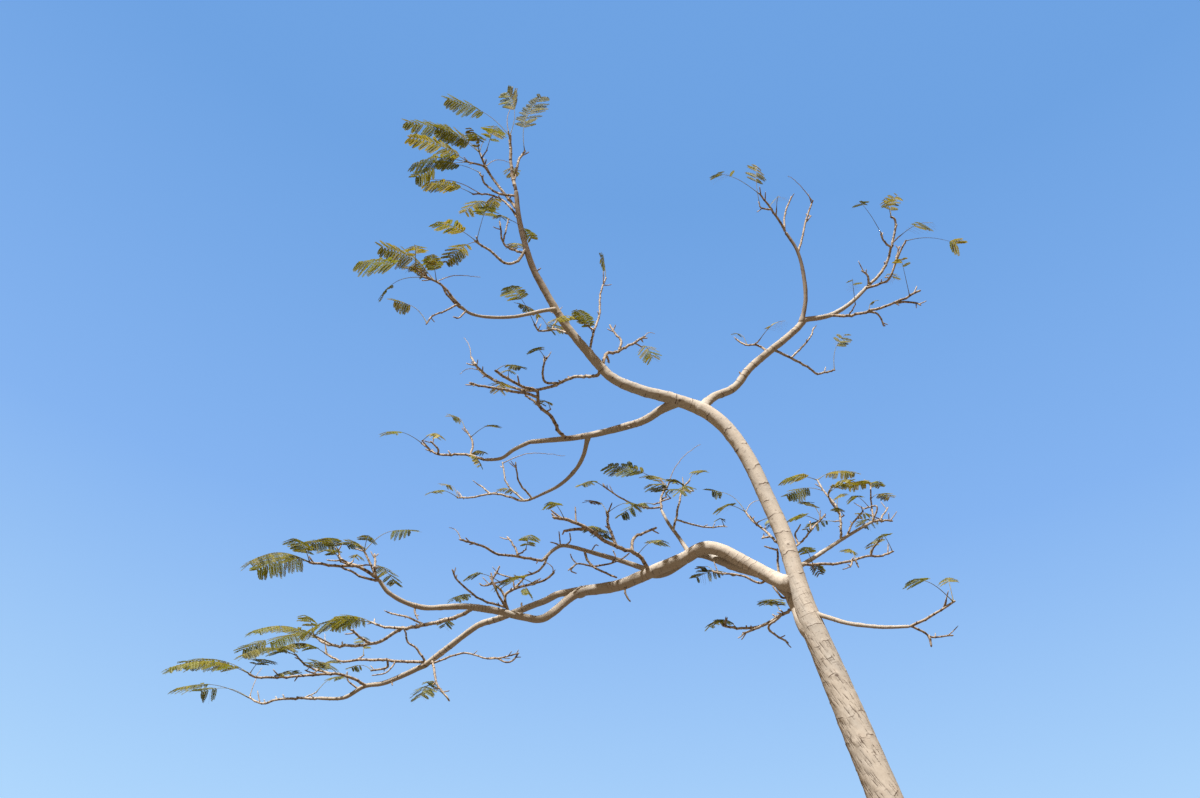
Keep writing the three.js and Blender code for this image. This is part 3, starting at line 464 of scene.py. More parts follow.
# %% A socket that understands + - * /
class Wire:
    """An output of a node. Python's signs on it add Math nodes, and node() adds any other."""

    def __init__(self, tree, socket=None):
        self.tree = tree
        self.socket = socket

    def node(self, kind, settings=None, values=None, out=0):
        made = self.tree.nodes.new(kind)
        for key, value in (settings or {}).items():
            setattr(made, key, value)
        for key, value in (values or {}).items():
            if isinstance(value, Wire):
                self.tree.links.new(value.socket, made.inputs[key])
            else:
                made.inputs[key].default_value = value
        return Wire(self.tree, made.outputs[out])

    def maths(self, operation, *values):
        return self.node("ShaderNodeMath", {"operation": operation}, dict(enumerate(values)))

    def __add__(self, other):
        return self.maths("ADD", self, other)

    def __sub__(self, other):
        return self.maths("SUBTRACT", self, other)

    def __rsub__(self, other):
        return self.maths("SUBTRACT", other, self)

    def __mul__(self, other):
        return self.maths("MULTIPLY", self, other)

    def __truediv__(self, other):
        return self.maths("DIVIDE", self, other)

    __radd__ = __add__
    __rmul__ = __mul__

    def ramp(self, low, high):
        """0 at low and 1 at high, with a soft start and end. Low may be the larger."""
        settings = {"interpolation_type": "SMOOTHSTEP"}
        return self.node("ShaderNodeMapRange", settings, {"Value": self, "From Min": low, "From Max": high})

    def stretched(self, sizes, shift=0):
        """A vector divided by sizes, which are those of a mark across, across and along."""
        scale = [1 / size for size in sizes]
        larger = self.node("ShaderNodeVectorMath", {"operation": "MULTIPLY"}, {0: self, 1: scale})
        return self.node("ShaderNodeVectorMath", {"operation": "ADD"}, {0: larger, 1: [shift] * 3})

    def noise(self, detail=2, roughness=0.5, distortion=0):
        values = {"Vector": self, "Scale": 1, "Detail": detail, "Roughness": roughness}
        return self.node("ShaderNodeTexNoise", {}, {**values, "Distortion": distortion})

    def tinted(self, colour, mask):
        """This colour, with another where the mask is 1."""
        return self.node("ShaderNodeMix", {"data_type": "RGBA"}, {0: mask, 6: self, 7: colour}, out=2)


def read(tree, name, kind):
    """A named attribute, in a geometry tree or in a material's."""
    if tree.bl_idname == "GeometryNodeTree":
        return Wire(tree).node("GeometryNodeInputNamedAttribute", {"data_type": kind}, {"Name": name})
    out = 1 if kind == "FLOAT_VECTOR" else 2
    return Wire(tree).node("ShaderNodeAttribute", {"attribute_name": name}, out=out)


# %% [markdown]
# ## The marks in the bark
# The trunk is cracked in short slits that run along it, and a ring of scar tissue crosses it here
# and there, where a branch or a season ended. The boughs are smoother, with closer rings and a
# knuckled shape. The attribute `girth` says how thick the limb is, so the cracks fade out by
# themselves as a limb thins. The sizes below are in metres, across, across and along a limb.

# %% Bark marks, each from 0 to 1
# each noise: its size, a shift that sets it apart from the others, its detail, its roughness and,
# for the slits, how much it is distorted
mark_noises = {
    "drift": [(0.09, 0.09, 0.4), 0, 2, 0.5],
    "broken": [(0.05, 0.05, 0.2), 5, 1, 0.5],
    "slit": [(0.0055, 0.0055, 0.08), 0, 1, 0.5, 0.4],
    "short": [(0.035, 0.035, 0.09), 9, 2, 0.5],
    "lumps": [(0.045, 0.045, 0.075), 3, 2, 0.6],
    "pits": [(0.004, 0.004, 0.007), 7, 2, 0.5],
    "patches": [(0.12, 0.12, 0.3), 11, 3, 0.6],
    "dashes": [(0.03, 0.03, 0.008), 21, 1, 0.5],
}
knot_size, knot_shift = (0.15, 0.15, 0.15), 13
ring_gap = {"least": 0.06, "by_girth": 2.4, "drift": 1.1}
# where each mark starts, and where it is whole: in the noise's value, and in metres for the last
# three, which are a distance from a ring and two girths
mark_edges = {
    "broken": (0.44, 0.58), "slit": (0.585, 0.63), "short": (0.4, 0.48), "dashes": (0.64, 0.72),
    "ring": (0.007, 0.003), "old": (0.04, 0.075), "stout": (0.03, 0.05),
}


def bark_marks(tree):
    grain = read(tree, "grain", "FLOAT_VECTOR")
    girth = read(tree, "girth", "FLOAT")
    noises = {name: grain.stretched(size, shift).noise(*detail)
              for name, (size, shift, *detail) in mark_noises.items()}
    noises.update({name: noises[name].ramp(*mark_edges[name]) for name in mark_edges if name in noises})
    along = grain.node("ShaderNodeSeparateXYZ", {}, {0: grain}, out=2)
    spacing = ring_gap["least"] + ring_gap["by_girth"] * girth
    wander = along / spacing + ring_gap["drift"] * noises["drift"]
    settings = {"voronoi_dimensions": "1D", "feature": "DISTANCE_TO_EDGE"}
    edge = grain.node("ShaderNodeTexVoronoi", settings, {"W": wander, "Scale": 1})
    spots = grain.stretched(knot_size, knot_shift)
    return {
        **{name: noises[name] for name in ("lumps", "pits", "patches", "dashes")},
        "stout": girth.ramp(*mark_edges["stout"]),
        "rings": (edge * spacing).ramp(*mark_edges["ring"]) * noises["broken"],
        "cracks": noises["slit"] * noises["short"] * girth.ramp(*mark_edges["old"]),
        "knots": spots.node("ShaderNodeTexVoronoi", {}, {"Vector": spots, "Scale": 1}),
        "girth": girth,
        "grain": grain,
    }


# %% [markdown]
# Geometry Nodes then move every point of the column along its normal by the height of the marks
# there: lumps in proportion to the girth, a sunk crack and a raised lip beside each ring.

# %% The relief as Geometry Nodes
# in shares of the girth: on a thin limb, and how much less on a stout one
lump_height, lump_less = 0.34, 0.24
knot_height, knot_less = 0.14, 0.1
lip_by_girth = 0.02
knot_edge = (0.19, 0.07)
# in metres
crack_depth = 0.0025
lip_height = 0.0008
pit_height = 0.0008
relief = bpy.data.node_groups.new("bark_relief", "GeometryNodeTree")
for way in ("INPUT", "OUTPUT"):
    relief.interface.new_socket("Geometry", in_out=way, socket_type="NodeSocketGeometry")
marks = bark_marks(relief)
height = (marks["lumps"] - 0.5) * marks["girth"] * (lump_height - marks["stout"] * lump_less)
knots = marks["knots"].ramp(*knot_edge) * marks["girth"] * (knot_height - marks["stout"] * knot_less)
lips = marks["rings"] * (lip_height + lip_by_girth * marks["girth"])
height = height + knots - marks["cracks"] * crack_depth + lips + (marks["pits"] - 0.5) * pit_height
outward = height.node("GeometryNodeInputNormal")
offset = height.node("ShaderNodeVectorMath", {"operation": "SCALE"}, {0: outward, "Scale": height})
column_in = height.node("NodeGroupInput")
moved = height.node("GeometryNodeSetPosition", {}, {"Geometry": column_in, "Offset": offset})
relief_out = relief.nodes.new("NodeGroupOutput")
relief.links.new(moved.socket, relief_out.inputs[0])
print("relief", len(relief.nodes), "nodes")

# %% [markdown]
# ## Bending the column
# A Curve modifier bends the finished column along its route. The route is a helper, and it is
# removed once the modifier is applied.

# %% Bend a column along a route
def bend(piece, line):
    guide_data = bpy.data.curves.new(piece.name + "_guide", "CURVE")
    guide_data.dimensions = "3D"
    guide_data.twist_mode = "MINIMUM"
    spline = guide_data.splines.new("POLY")
    spline.points.add(len(line) - 1)
    spline.points.foreach_set("co", np.column_stack([line, np.ones(len(line))]).ravel())
    guide = in_scene(piece.name + "_guide", guide_data)
    apply_modifier(piece, "CURVE", object=guide, deform_axis="POS_Z")
    bpy.data.objects.remove(guide)


# %% A whole limb
smoothing = 2
spiral = 4
set_apart = np.array([0.7, 0.3, 1.9])
guide_run = 10 * mm
fewest_rings = 4


def limb(name, route, width_at, pitch, sides, shape=None):
    """A limb of bark along a route. width_at gives its radius at a distance from the foot."""
    count = max(fewest_rings, round(route.length / pitch))
    heights = np.linspace(0, route.length, count + 1)
    piece = column(name + "_bark", heights, width_at(heights), sides)
    apply_modifier(piece, "SUBSURF", levels=smoothing, render_levels=smoothing)
    points = points_of(piece)
    if shape:
        points = shape(points)
        piece.data.vertices.foreach_set("co", points.ravel())
    number = list(routes).index(name)
    turn = spiral * points[:, 2]
    grain = points.copy()
    grain[:, 0] = points[:, 0] * np.cos(turn) - points[:, 1] * np.sin(turn)
    grain[:, 1] = points[:, 0] * np.sin(turn) + points[:, 1] * np.cos(turn)
    store(piece, "grain", "FLOAT_VECTOR", grain + set_apart * number)
    store(piece, "girth", "FLOAT", np.asarray(width_at(points[:, 2]), float))
    apply_modifier(piece, "NODES", node_group=relief)
    bend(piece, route.place(np.arange(0, route.length + guide_run, guide_run)))
    bpy.ops.object.shade_smooth()
    return piece


# %% [markdown]
# ## The trunk
# The trunk is widest where its roots spread, and five low lobes show where the main roots leave.
# It leans, swings back a little, and steepens before the fork. It is drawn from below the ground
# and then cut flat at ground level, where the tree is rooted.

# %% Trunk
trunk_pitch, trunk_sides = 45 * mm, 40


def trunk_radius(along):
    return np.interp(along / mm, trunk_places, trunk_girth)


def fade_above_ground(along):
    return np.exp(-np.maximum(0, along / mm - buried) / flare["height"])


def trunk_width(along):
    return mm * (trunk_radius(along) + flare["width"] * fade_above_ground(along))


def root_lobes(points):
    height = points[:, 2]
    reach = np.linalg.norm(points[:, :2], axis=1)
    angle = np.arctan2(points[:, 1], points[:, 0])
    swell = flare["width"] * mm * flare["lobe_depth"] * fade_above_ground(height)
    grown = 1 + swell * np.cos(flare["lobes"] * angle) / trunk_width(height)
    inside = reach > 0
    points[inside, :2] *= grown[inside, None]
    return points


trunk = limb("trunk", routes["trunk"], trunk_width, trunk_pitch, trunk_sides, root_lobes)
bpy.ops.object.mode_set(mode="EDIT")
bpy.ops.mesh.select_all(action="SELECT")
bpy.ops.mesh.bisect(plane_co=(0, 0, 0), plane_no=(0, 0, 1), clear_inner=True, use_fill=True)
bpy.ops.object.mode_set(mode="OBJECT")
print("trunk", len(trunk.data.polygons), "faces")

# %% [markdown]
# ## The boughs
# A bough swells where it leaves its parent, as the wood of both grows together, and it thins
# evenly to its tip. One that runs on from another's tip starts a little way inside it, at the
# same girth, so that no step shows. Under the low bough a web of wood runs down into the trunk. It
# is made like a bough, lies in the low bough's shade, and is joined to the low bough's piece.

# %% Boughs
collar = {"swell": 0.45, "run": 1.1}
overlap = 1.5        # how far a limb that runs on starts inside, in radii of the limb before it
set_back = np.linspace(1, 0.2, 5)
snug = 1.01        # a limb that runs on is this much wider than the tip, so their skins differ
stout_foot = 25
bough_pitch, stout_sides, thin_sides = 30 * mm, 12, 8


def radius_on(name, share):
    """A limb's radius in millimetres at a share of its steps."""
    if name == "trunk":
        return trunk_radius(routes["trunk"].distance(share)) if share < 1 else trunk_girth[-1]
    foot, tip = boughs[name].radii
    return foot + (tip - foot) * share


def run_on(route, parent, back):
    """The route, begun a little way back inside the tip of the limb that it runs on from."""
    return Route(np.vstack([parent.place(parent.length - back * set_back), route.line]))


def bough(name, row):
    foot, tip = row.radii
    route = routes[name]
    parent_radius = radius_on(row.on, row.at)
    runs_on = row.at == 1
    back = overlap * parent_radius * mm if runs_on else 0
    if runs_on:
        route = run_on(route, routes[row.on], back)

    def width(along):
        share = np.clip((along - back) / (route.length - back), 0, 1)
        if runs_on:
            fade = np.exp(-np.maximum(0, along - back) / (2 * foot * mm))
            swell = (snug * parent_radius - foot) * fade
        else:
            clear = np.maximum(0, along - parent_radius * mm)
            swell = foot * collar["swell"] * np.exp(-clear / (collar["run"] * foot * mm))
        return mm * (foot + (tip - foot) * share + swell)

    return limb(name, route, width, bough_pitch, stout_sides if foot > stout_foot else thin_sides)


bark_pieces = {"trunk": trunk, **{name: bough(name, row) for name, row in boughs.items()}}
bpy.ops.object.select_all(action="DESELECT")
bark_pieces["low_bough"].select_set(True)
bark_pieces.pop("low_web").select_set(True)
bpy.context.view_layer.objects.active = bark_pieces["low_bough"]
bpy.ops.object.join()
print("bough faces", sum(len(piece.data.polygons) for piece in bark_pieces.values()))

# %% [markdown]
# ## Twigs
# A flame tree's twigs are stout and blunt. Each leaf that fell left a swollen dark scar, and the
# twig turns a little at every scar, so it looks knuckled. Thousands of such rings are quicker to
# make as arrays: a ring of points is set at each place along the twig, and neighbouring rings are
# joined. A twig's solid is round and takes in its scars, so the twig inside it is a little slimmer.

# %% Rings along a line
nearly_up = [0.1, 0.2, 1.0]


def tube(line, radii, sides):
    """Points and faces of a closed tube along a line. radii has one value a ring, or one a point."""
    ahead = unit(np.gradient(line, axis=0))
    side = np.cross(ahead[0], nearly_up)
    across = []
    for forward in ahead:
        side = unit(side - forward * side.dot(forward))
        across.append(side)
    across = np.array(across)
    upward = np.cross(ahead, across)
    turn = 2 * math.pi * np.arange(sides) / sides
    spokes = across[:, None] * np.cos(turn)[None, :, None] + upward[:, None] * np.sin(turn)[None, :, None]
    rings = line[:, None] + spokes * np.reshape(radii, (len(line), -1, 1))
    points = np.vstack([rings.reshape(-1, 3), line[:1], line[-1:]])
    k = np.arange(sides)
    after = (k + 1) % sides
    ring = np.arange(len(line) - 1)[:, None] * sides
    quads = np.stack([ring + k, ring + after, ring + sides + after, ring + sides + k], -1)
    foot, tip = len(points) - 2, len(points) - 1
    last = (len(line) - 1) * sides
    ends = [(foot, (i + 1) % sides, i) for i in range(sides)]
    ends += [(tip, last + i, last + (i + 1) % sides) for i in range(sides)]
    return points, quads.reshape(-1, 4).tolist() + ends


def mesh_piece(name, points, faces):
    mesh = bpy.data.meshes.new(name)
    mesh.from_pydata(points.tolist(), [], faces)
    return in_scene(name, mesh)


class Heap:
    """Points and faces that are joined into one piece in the end. scars says how scarred a point is."""

    def __init__(self):
        self.points = []
        self.scars = []
        self.faces = []
        self.count = 0

    def add(self, points, faces, scars=0.0):
        self.points.append(points)
        self.scars.append(np.broadcast_to(scars, len(points)))
        self.faces += [tuple(i + self.count for i in face) for face in faces]
        self.count += len(points)

    def piece(self, name):
        made = mesh_piece(name, np.vstack(self.points), self.faces)
        store(made, "scar", "FLOAT", np.concatenate(self.scars))
        made.data.shade_smooth()
        print(name, len(self.faces), "faces")
        return made


# %% A seeded run of draws, the same as in the solids
def seeded(seed):
    """Endless draws from 0 to 1, by a linear congruential generator."""
    state = seed * 7919 + 101
    while True:
        state = (state * 1664525 + 1013904223) % 2**32
        yield state / 2**32


def pick(pair, draw):
    return pair[0] + (pair[1] - pair[0]) * next(draw)


# %% A knuckled twig
taper = 0.7
twig = {"ring": 8 * mm, "sides": 8, "scar_gap": (22 * mm, 48 * mm), "kink": 0.2, "unscarred_tip": 8 * mm}
rounding = {"run": 0.9, "least": 0.12}
leaf_scar = {"swell": 0.3, "run": 5 * mm, "turn": math.radians(137), "all_round": 0.4}
chance = np.random.default_rng(7)
loss = np.random.default_rng(4)        # for the pinnae that a nearly bare bough has lost


def scars_on(along, scars):
    """How scarred each point of a twig is: the leaves stood in a spiral, so their scars do too."""
    turn = 2 * math.pi * np.arange(twig["sides"]) / twig["sides"]
    scarred = np.zeros((len(along), twig["sides"]))
    for number, scar in enumerate(scars):
        near = np.exp(-(((along - scar) / leaf_scar["run"]) ** 2))
        one_side = (1 - leaf_scar["all_round"]) * np.cos(turn - number * leaf_scar["turn"])
        facing = np.clip(leaf_scar["all_round"] + one_side, 0, 1)
        scarred = np.maximum(scarred, near[:, None] * facing)
    return scarred


def grow_twig(heap, route, foot):
    """Adds a twig along the route, from a foot radius in metres, and returns its scars' places."""
    gaps = chance.uniform(*twig["scar_gap"], size=int(route.length / twig["scar_gap"][0]) + 2)
    scars = np.cumsum(gaps)
    scars = scars[scars < route.length - twig["unscarred_tip"]]
    along = np.arange(0, route.length, twig["ring"])
    along = np.unique(np.concatenate([along, scars, [route.length]]))
    radii = foot * (1 + (taper - 1) * along / route.length)
    knots = np.concatenate([[0], scars, [route.length]])
    kinks = chance.normal(0, twig["kink"] * foot, (len(knots), 3))
    kinks[0] = 0
    line = route.place(along) + between(along, knots, kinks)
    tip = np.clip((route.length - along) / (rounding["run"] * radii[-1]), 0, 1)
    radii = radii * np.sqrt(rounding["least"] + (1 - rounding["least"]) * tip)
    scarred = scars_on(along, scars)
    points, faces = tube(line, radii[:, None] * (1 + leaf_scar["swell"] * scarred), twig["sides"])
    heap.add(points, faces, np.append(scarred.ravel(), [0, 0]))
    return scars


# %% [markdown]
# A few scars carry a short dead stub, where a side twig died back.

# %% Stubs
stub = {"share": 0.09, "length": (10 * mm, 30 * mm), "girth": 0.5, "rise": 0.6, "forward": 0.7, "sides": 6}
stub_shape = np.array([1.25, 1, 0.95, 0.6])


def grow_stubs(heap, route, scars, foot):
    for scar in scars:
        if chance.random() > stub["share"]:
            continue
        ahead = route.heading(scar)
        outward = chance.normal(size=3) + [0, 0, stub["rise"]]
        outward = unit(outward - ahead * outward.dot(ahead))
        outward = unit(outward + stub["forward"] * ahead)
        length = chance.uniform(*stub["length"])
        steps = np.linspace(0, 1, len(stub_shape))[:, None]
        line = route.place(scar) + outward * (foot + length) * steps
        heap.add(*tube(line, foot * stub["girth"] * stub_shape, stub["sides"]))


# %% [markdown]
# Near its tip a twig divides once or twice more into short blunt spurs, which carry next year's
# leaves.

# %% Spurs
spur = {"place": (0.72, 0.97), "length": (35 * mm, 85 * mm), "girth": 0.75, "spread": (30, 60),
        "scatter": [1, 0.6, 1], "rise": [0, 0, 0.4], "bend": [0, 0, 0.35], "rings": 8, "sides": 7,
        "taper": 0.25, "tip": 0.5}


def grow_spurs(heap, route, foot):
    for _ in range(chance.integers(1, 3)):
        start = chance.uniform(*spur["place"]) * route.length
        ahead = route.heading(start)
        outward = chance.normal(size=3) * spur["scatter"] + spur["rise"]
        outward = unit(outward - ahead * outward.dot(ahead))
        turn = math.radians(chance.uniform(*spur["spread"]))
        aim = ahead * math.cos(turn) + outward * math.sin(turn)
        length = chance.uniform(*spur["length"])
        bent = aim + spur["bend"]        # it leaves along aim, and ends along this
        steps = np.linspace(0, 1, spur["rings"])[:, None]
        line = route.place(start) + length * (aim * steps * (1 - 0.5 * steps) + bent * steps**2 * 0.5)
        radii = foot * taper * spur["girth"] * (1 - spur["taper"] * steps[:, 0])
        radii[-1] *= spur["tip"]
        heap.add(*tube(line, radii, spur["sides"]))


# %% [markdown]
# ## Fronds
# A frond is a bare stalk and a leafy rib. Pairs of pinnae leave the rib, each a thin rib of its
# own with two rows of small leaflets. Everything on a frond is placed in the frame of its rib, so
# the arrays below hold all the leaflets of a frond at once. In the wind and the heat the pinnae
# hang and lean towards the tip, and a frond that stands upright turns its flat side to the sun.

# %% The sizes of a frond
frond = {"widest": 108 * mm, "slim": 0.21, "sine_from": 0.25, "sine_run": 0.6, "reach": 1.12, "arch": 0.1,
         "roll": 14, "upright": 60, "sunward": 65, "rings": 25}
pinna = {"gap": 22 * mm, "fewest": 4, "lean": (46, 58), "droop": (6, 24), "lean_spread": 3,
         "droop_spread": 5, "length_spread": 0.06, "rib": 0.7 * mm, "sag": 0.14, "bare_sag": 0.35,
         "full_from": 60 * mm, "start": 0.4, "first_tint": 0.85, "less_at_tip": 0.7, "rib_tip": 0.3,
         "curled_places": 5}
leaflet = {"pairs": 16, "start": 0.6, "length": 14 * mm, "width": 7 * mm, "lean": 65, "fold": 0.35,
           "scatter": 0.08, "shoulder": 0.22, "sine_from": 0.22, "sine_run": 0.62}
leaves = {tint: [] for tint in ("olive", "dark", "fresh", "gold", "dry")}
twigs = {"pale": Heap(), "brown": Heap()}
stalks = {"green": Heap(), "spent": Heap()}
down = np.array([0, 0, -1.0])


def rib_of(root, length, climb, bearing, roll):
    """The rib's line, and which way is across it."""
    along = direction(climb, bearing)
    level = direction(0, bearing + 90)
    over = np.cross(along, level)
    x = np.linspace(0, 1, frond["rings"])
    lift = frond["arch"] * length * np.sin(math.pi * x)
    line = root + along * length * x[:, None] + over * lift[:, None]
    return line, level * math.cos(roll) + over * math.sin(roll)


# %% Leaflets on pinnae
def grow_pinnae(line, across, length, leaf_share, mood):
    """Adds a frond's pinnae. mood is the frond's own lean, droop and tints, and what it has lost."""
    starts = length * (1 - leaf_share)
    pairs = max(pinna["fewest"], round(length * leaf_share / pinna["gap"]))
    place = starts + (np.arange(pairs) + pinna["start"]) / pairs * (length - starts)
    x = np.linspace(0, length, len(line))
    base = between(place, x, line)
    ahead = unit(between(place, x, unit(np.gradient(line, axis=0))))
    side = unit(across - ahead * (ahead @ across)[:, None])
    up = np.cross(ahead, side)
    half = min(frond["widest"], length * frond["slim"])
    share = (np.arange(pairs) + 0.5) / pairs
    reach = half * np.sin(math.pi * (frond["sine_from"] + frond["sine_run"] * share)) * frond["reach"]
    for hand in (-1, 1):
        lean = np.radians(chance.normal(mood["lean"], pinna["lean_spread"], pairs))[:, None]
        droop = np.radians(chance.normal(mood["droop"], pinna["droop_spread"], pairs))[:, None]
        out = hand * side * np.cos(droop) - up * np.sin(droop)
        heading = unit(ahead * np.cos(lean) + out * np.sin(lean))
        wide = unit(np.cross(heading, np.cross(out, ahead)))
        face = np.cross(heading, wide)
        kept = chance.random(pairs) > mood["wear"]
        if not kept.all():
            bare_ribs(base[~kept], heading[~kept], wide[~kept], reach[~kept])
        if kept.any():
            span = (reach * chance.normal(1, pinna["length_spread"], pairs))[kept]
            first = chance.random(pairs) < pinna["first_tint"] - pinna["less_at_tip"] * share
            tint = np.where(first, *mood["tints"])[kept]
            grow_leaflets(base[kept], heading[kept], wide[kept], face[kept], span, tint, mood["bare"])


def spots_along(base, heading, reach, t, sag):
    """Places at shares t along the pinnae, which sag towards their tips."""
    t, reach = t[None, :, None], reach[:, None, None]
    return base[:, None] + heading[:, None] * (t * reach) + sag * t**2 * reach * down


def grow_leaflets(base, heading, wide, face, reach, tint, bare):
    t = (np.arange(leaflet["pairs"]) + leaflet["start"]) / leaflet["pairs"]
    spot = spots_along(base, heading, reach, t, pinna["sag"])
    size = np.sin(math.pi * (leaflet["sine_from"] + leaflet["sine_run"] * t))
    long = (size * np.minimum(1, reach[:, None] / pinna["full_from"]))[..., None] * leaflet["length"]
    lean = math.radians(leaflet["lean"])
    broad = heading[:, None] * leaflet["width"] / 2
    rise = face[:, None] * leaflet["fold"] * leaflet["width"] / 2
    quads = []
    for hand in (-1, 1):
        out = unit(heading * math.cos(lean) + hand * wide * math.sin(lean))[:, None]
        out = out + chance.normal(0, leaflet["scatter"], spot.shape)
        near, far, tip = (spot + out * long * share for share in (leaflet["shoulder"],
                                                                  1 - leaflet["shoulder"], 1))
        quads.append(np.stack([spot, near - broad + rise, far - broad + rise, tip], 2))
        quads.append(np.stack([spot, tip, far + broad + rise, near + broad + rise], 2))
    corners = np.stack(quads, 2)
    ribs = rib_strips(base, spot, wide)
    held = loss.random(len(base)) >= bare
    if not held.all():
        bare_ribs(base[~held], heading[~held], wide[~held], reach[~held])
    for name in np.unique(tint[held]):
        mine = (tint == name) & held
        leaves[str(name)] += [corners[mine].reshape(-1, 4, 3), ribs[mine].reshape(-1, 4, 3)]


def bare_ribs(base, heading, wide, reach):
    """The ribs of pinnae that lost their leaflets: they hang on for a while, and curl down."""
    spot = spots_along(base, heading, reach, np.linspace(0, 1, pinna["curled_places"]), pinna["bare_sag"])
    leaves["dry"].append(rib_strips(base, spot, wide).reshape(-1, 4, 3))


def rib_strips(base, spot, wide):
    """A pinna's own rib, as two long narrow strips."""
    broad = wide * pinna["rib"]
    middle, end = spot[:, spot.shape[1] // 2], spot[:, -1]
    lower = np.stack([base - broad, base + broad, middle + broad, middle - broad], 1)
    narrow = broad * pinna["rib_tip"]
    upper = np.stack([middle - broad, middle + broad, end + narrow, end - narrow], 1)
    return np.stack([lower, upper], 1)


# %% A whole frond
# The tints of a frond's foot and tip, partly their own colour and partly painted light: high up they
# take the gold of sunlit pinnae, and low down the dark of pinnae in shade.
sunlit = [("gold", "olive"), ("olive", "gold"), ("gold", "fresh"), ("olive", "dark"), ("fresh", "olive")]
shaded = [("olive", "dark"), ("dark", "olive"), ("olive", "fresh"), ("fresh", "dark"), ("olive", "dark")]
sunlit_from = 5.6
stalk_sides = 5
# shares along a stalk, and its radius there in millimetres
green_stalk = [0, 0.04, 0.1, 1], [4.2, 3.6, 2.3, 0.9]
spent_stalk = [0, 0.05, 1], [4.5, 3.2, 1.6]
spent_curl = 0.006
leaf_wear = 0.06
level_roll = 0.5


def grow_frond(route, leaf, roll_draw, wear=leaf_wear, bare=0):
    """Adds a frond to a twig. wear and bare are the shares of its pinnae that lost their leaflets."""
    root = perch(route, leaf.at)
    length = leaf.length * mm
    roll = frond["roll"] * (2 * roll_draw - 1) + frond["sunward"] * (leaf.climb > frond["upright"])
    line, across = rib_of(root, length, leaf.climb, leaf.bearing, math.radians(roll))
    along = np.linspace(0, 1, len(line))
    if leaf.in_leaf == 0:
        curl = np.cumsum(chance.normal(0, 1, line.shape), axis=0) * length * spent_curl
        stalks["spent"].add(*tube(line + curl * along[:, None], mm * np.interp(along, *spent_stalk),
                                  stalk_sides))
        return
    stalks["green"].add(*tube(line, mm * np.interp(along, *green_stalk), stalk_sides))
    dealt = sunlit if root[2] > sunlit_from else shaded
    pair = dealt[chance.integers(len(dealt))]
    if leaf.tints:
        pair = (leaf.tints.split() * 2)[:2]
    mood = {"lean": chance.uniform(*pinna["lean"]), "droop": chance.uniform(*pinna["droop"]),
            "wear": wear, "tints": pair, "bare": bare}
    grow_pinnae(line, across, length, leaf.in_leaf, mood)


# %% [markdown]
# ## The rule of growth
# Each mass is grown as its solid was: stem, forks, fronds, and seeded shoots that fill the crown
# behind and before. The rule is carried finer here, with more and smaller shoots on the leafier masses,
# and a shoot whose tip would leave the space of its mass is skipped. The boughs on the right are
# nearly bare in the photograph, so most of their pinnae have lost their leaflets.

# %% Shoots and masses
shoot = {
    "girth": 5.5 * mm, "place": (0.2, 0.9), "length": (80, 220), "fan": (-35, 35), "wear": 0.35,
    "behind": {"bearing": 90, "climb": (20, 45)}, "before": {"bearing": 270, "climb": (-30, 0)},
    "leaf_length": (300, 450), "leaf_share": (0.6, 0.85), "rise": (-15, 5),
}
finer_shoots = 2
finer = 0.7
leafy = 700        # millimetres of leafy rib: a mass with more than this has the finer shoots too
first_seed, seeds_per_mass = 1000, 10
fork_girth = 0.8
slim = 0.88
sunk = 12 * mm
margin = 20 * mm
lost = {"fronds": 0.35, "shoots": 0.8}      # the share of bare pinnae on the right-hand boughs
in_full_leaf = {"fronds": 0, "shoots": 0}
lines = {}


def perch(route, share):
    """A place at a share of a twig's length, and always a little inside its tip."""
    return route.place(min(share * route.length, route.length - sunk))


def grow_shoot(stem, draw, way, scale, space, heap, bare):
    at = pick(shoot["place"], draw)
    climb = pick(way["climb"], draw)
    bearing = way["bearing"] + pick(shoot["fan"], draw)
    length = pick(shoot["length"], draw) * scale
    branch = stepped(perch(stem, at), [[length, climb, bearing]])
    leaf_climb = climb + pick(shoot["rise"], draw)
    leaf_bearing = way["bearing"] + pick(shoot["fan"], draw)
    leaf_length = pick(shoot["leaf_length"], draw) * scale
    leaf = Frond(1, leaf_length, leaf_climb, leaf_bearing, pick(shoot["leaf_share"], draw))
    tip = perch(branch, 1) + leaf_length * mm * direction(leaf_climb, leaf_bearing)
    low, high = space
    if (tip < low).any() or (tip > high).any():
        return False
    grow_twig(heap, branch, shoot["girth"])
    grow_frond(branch, leaf, next(draw), shoot["wear"], bare)
    return True


def grow_arm(name, start, row, radius, heap, roll_draw, bare):
    """A stem or a fork, with its stubs, spurs and fronds."""
    arm = stepped(start, row.steps)
    lines[name] = arm
    grow_stubs(heap, arm, grow_twig(heap, arm, radius), radius)
    grow_spurs(heap, arm, radius)
    fronds = [Frond(*leaf) for leaf in row.fronds]
    for leaf in fronds:
        grow_frond(arm, leaf, next(roll_draw) if leaf.in_leaf else level_roll, bare=bare)
    return arm, sum(leaf.length * leaf.in_leaf for leaf in fronds)


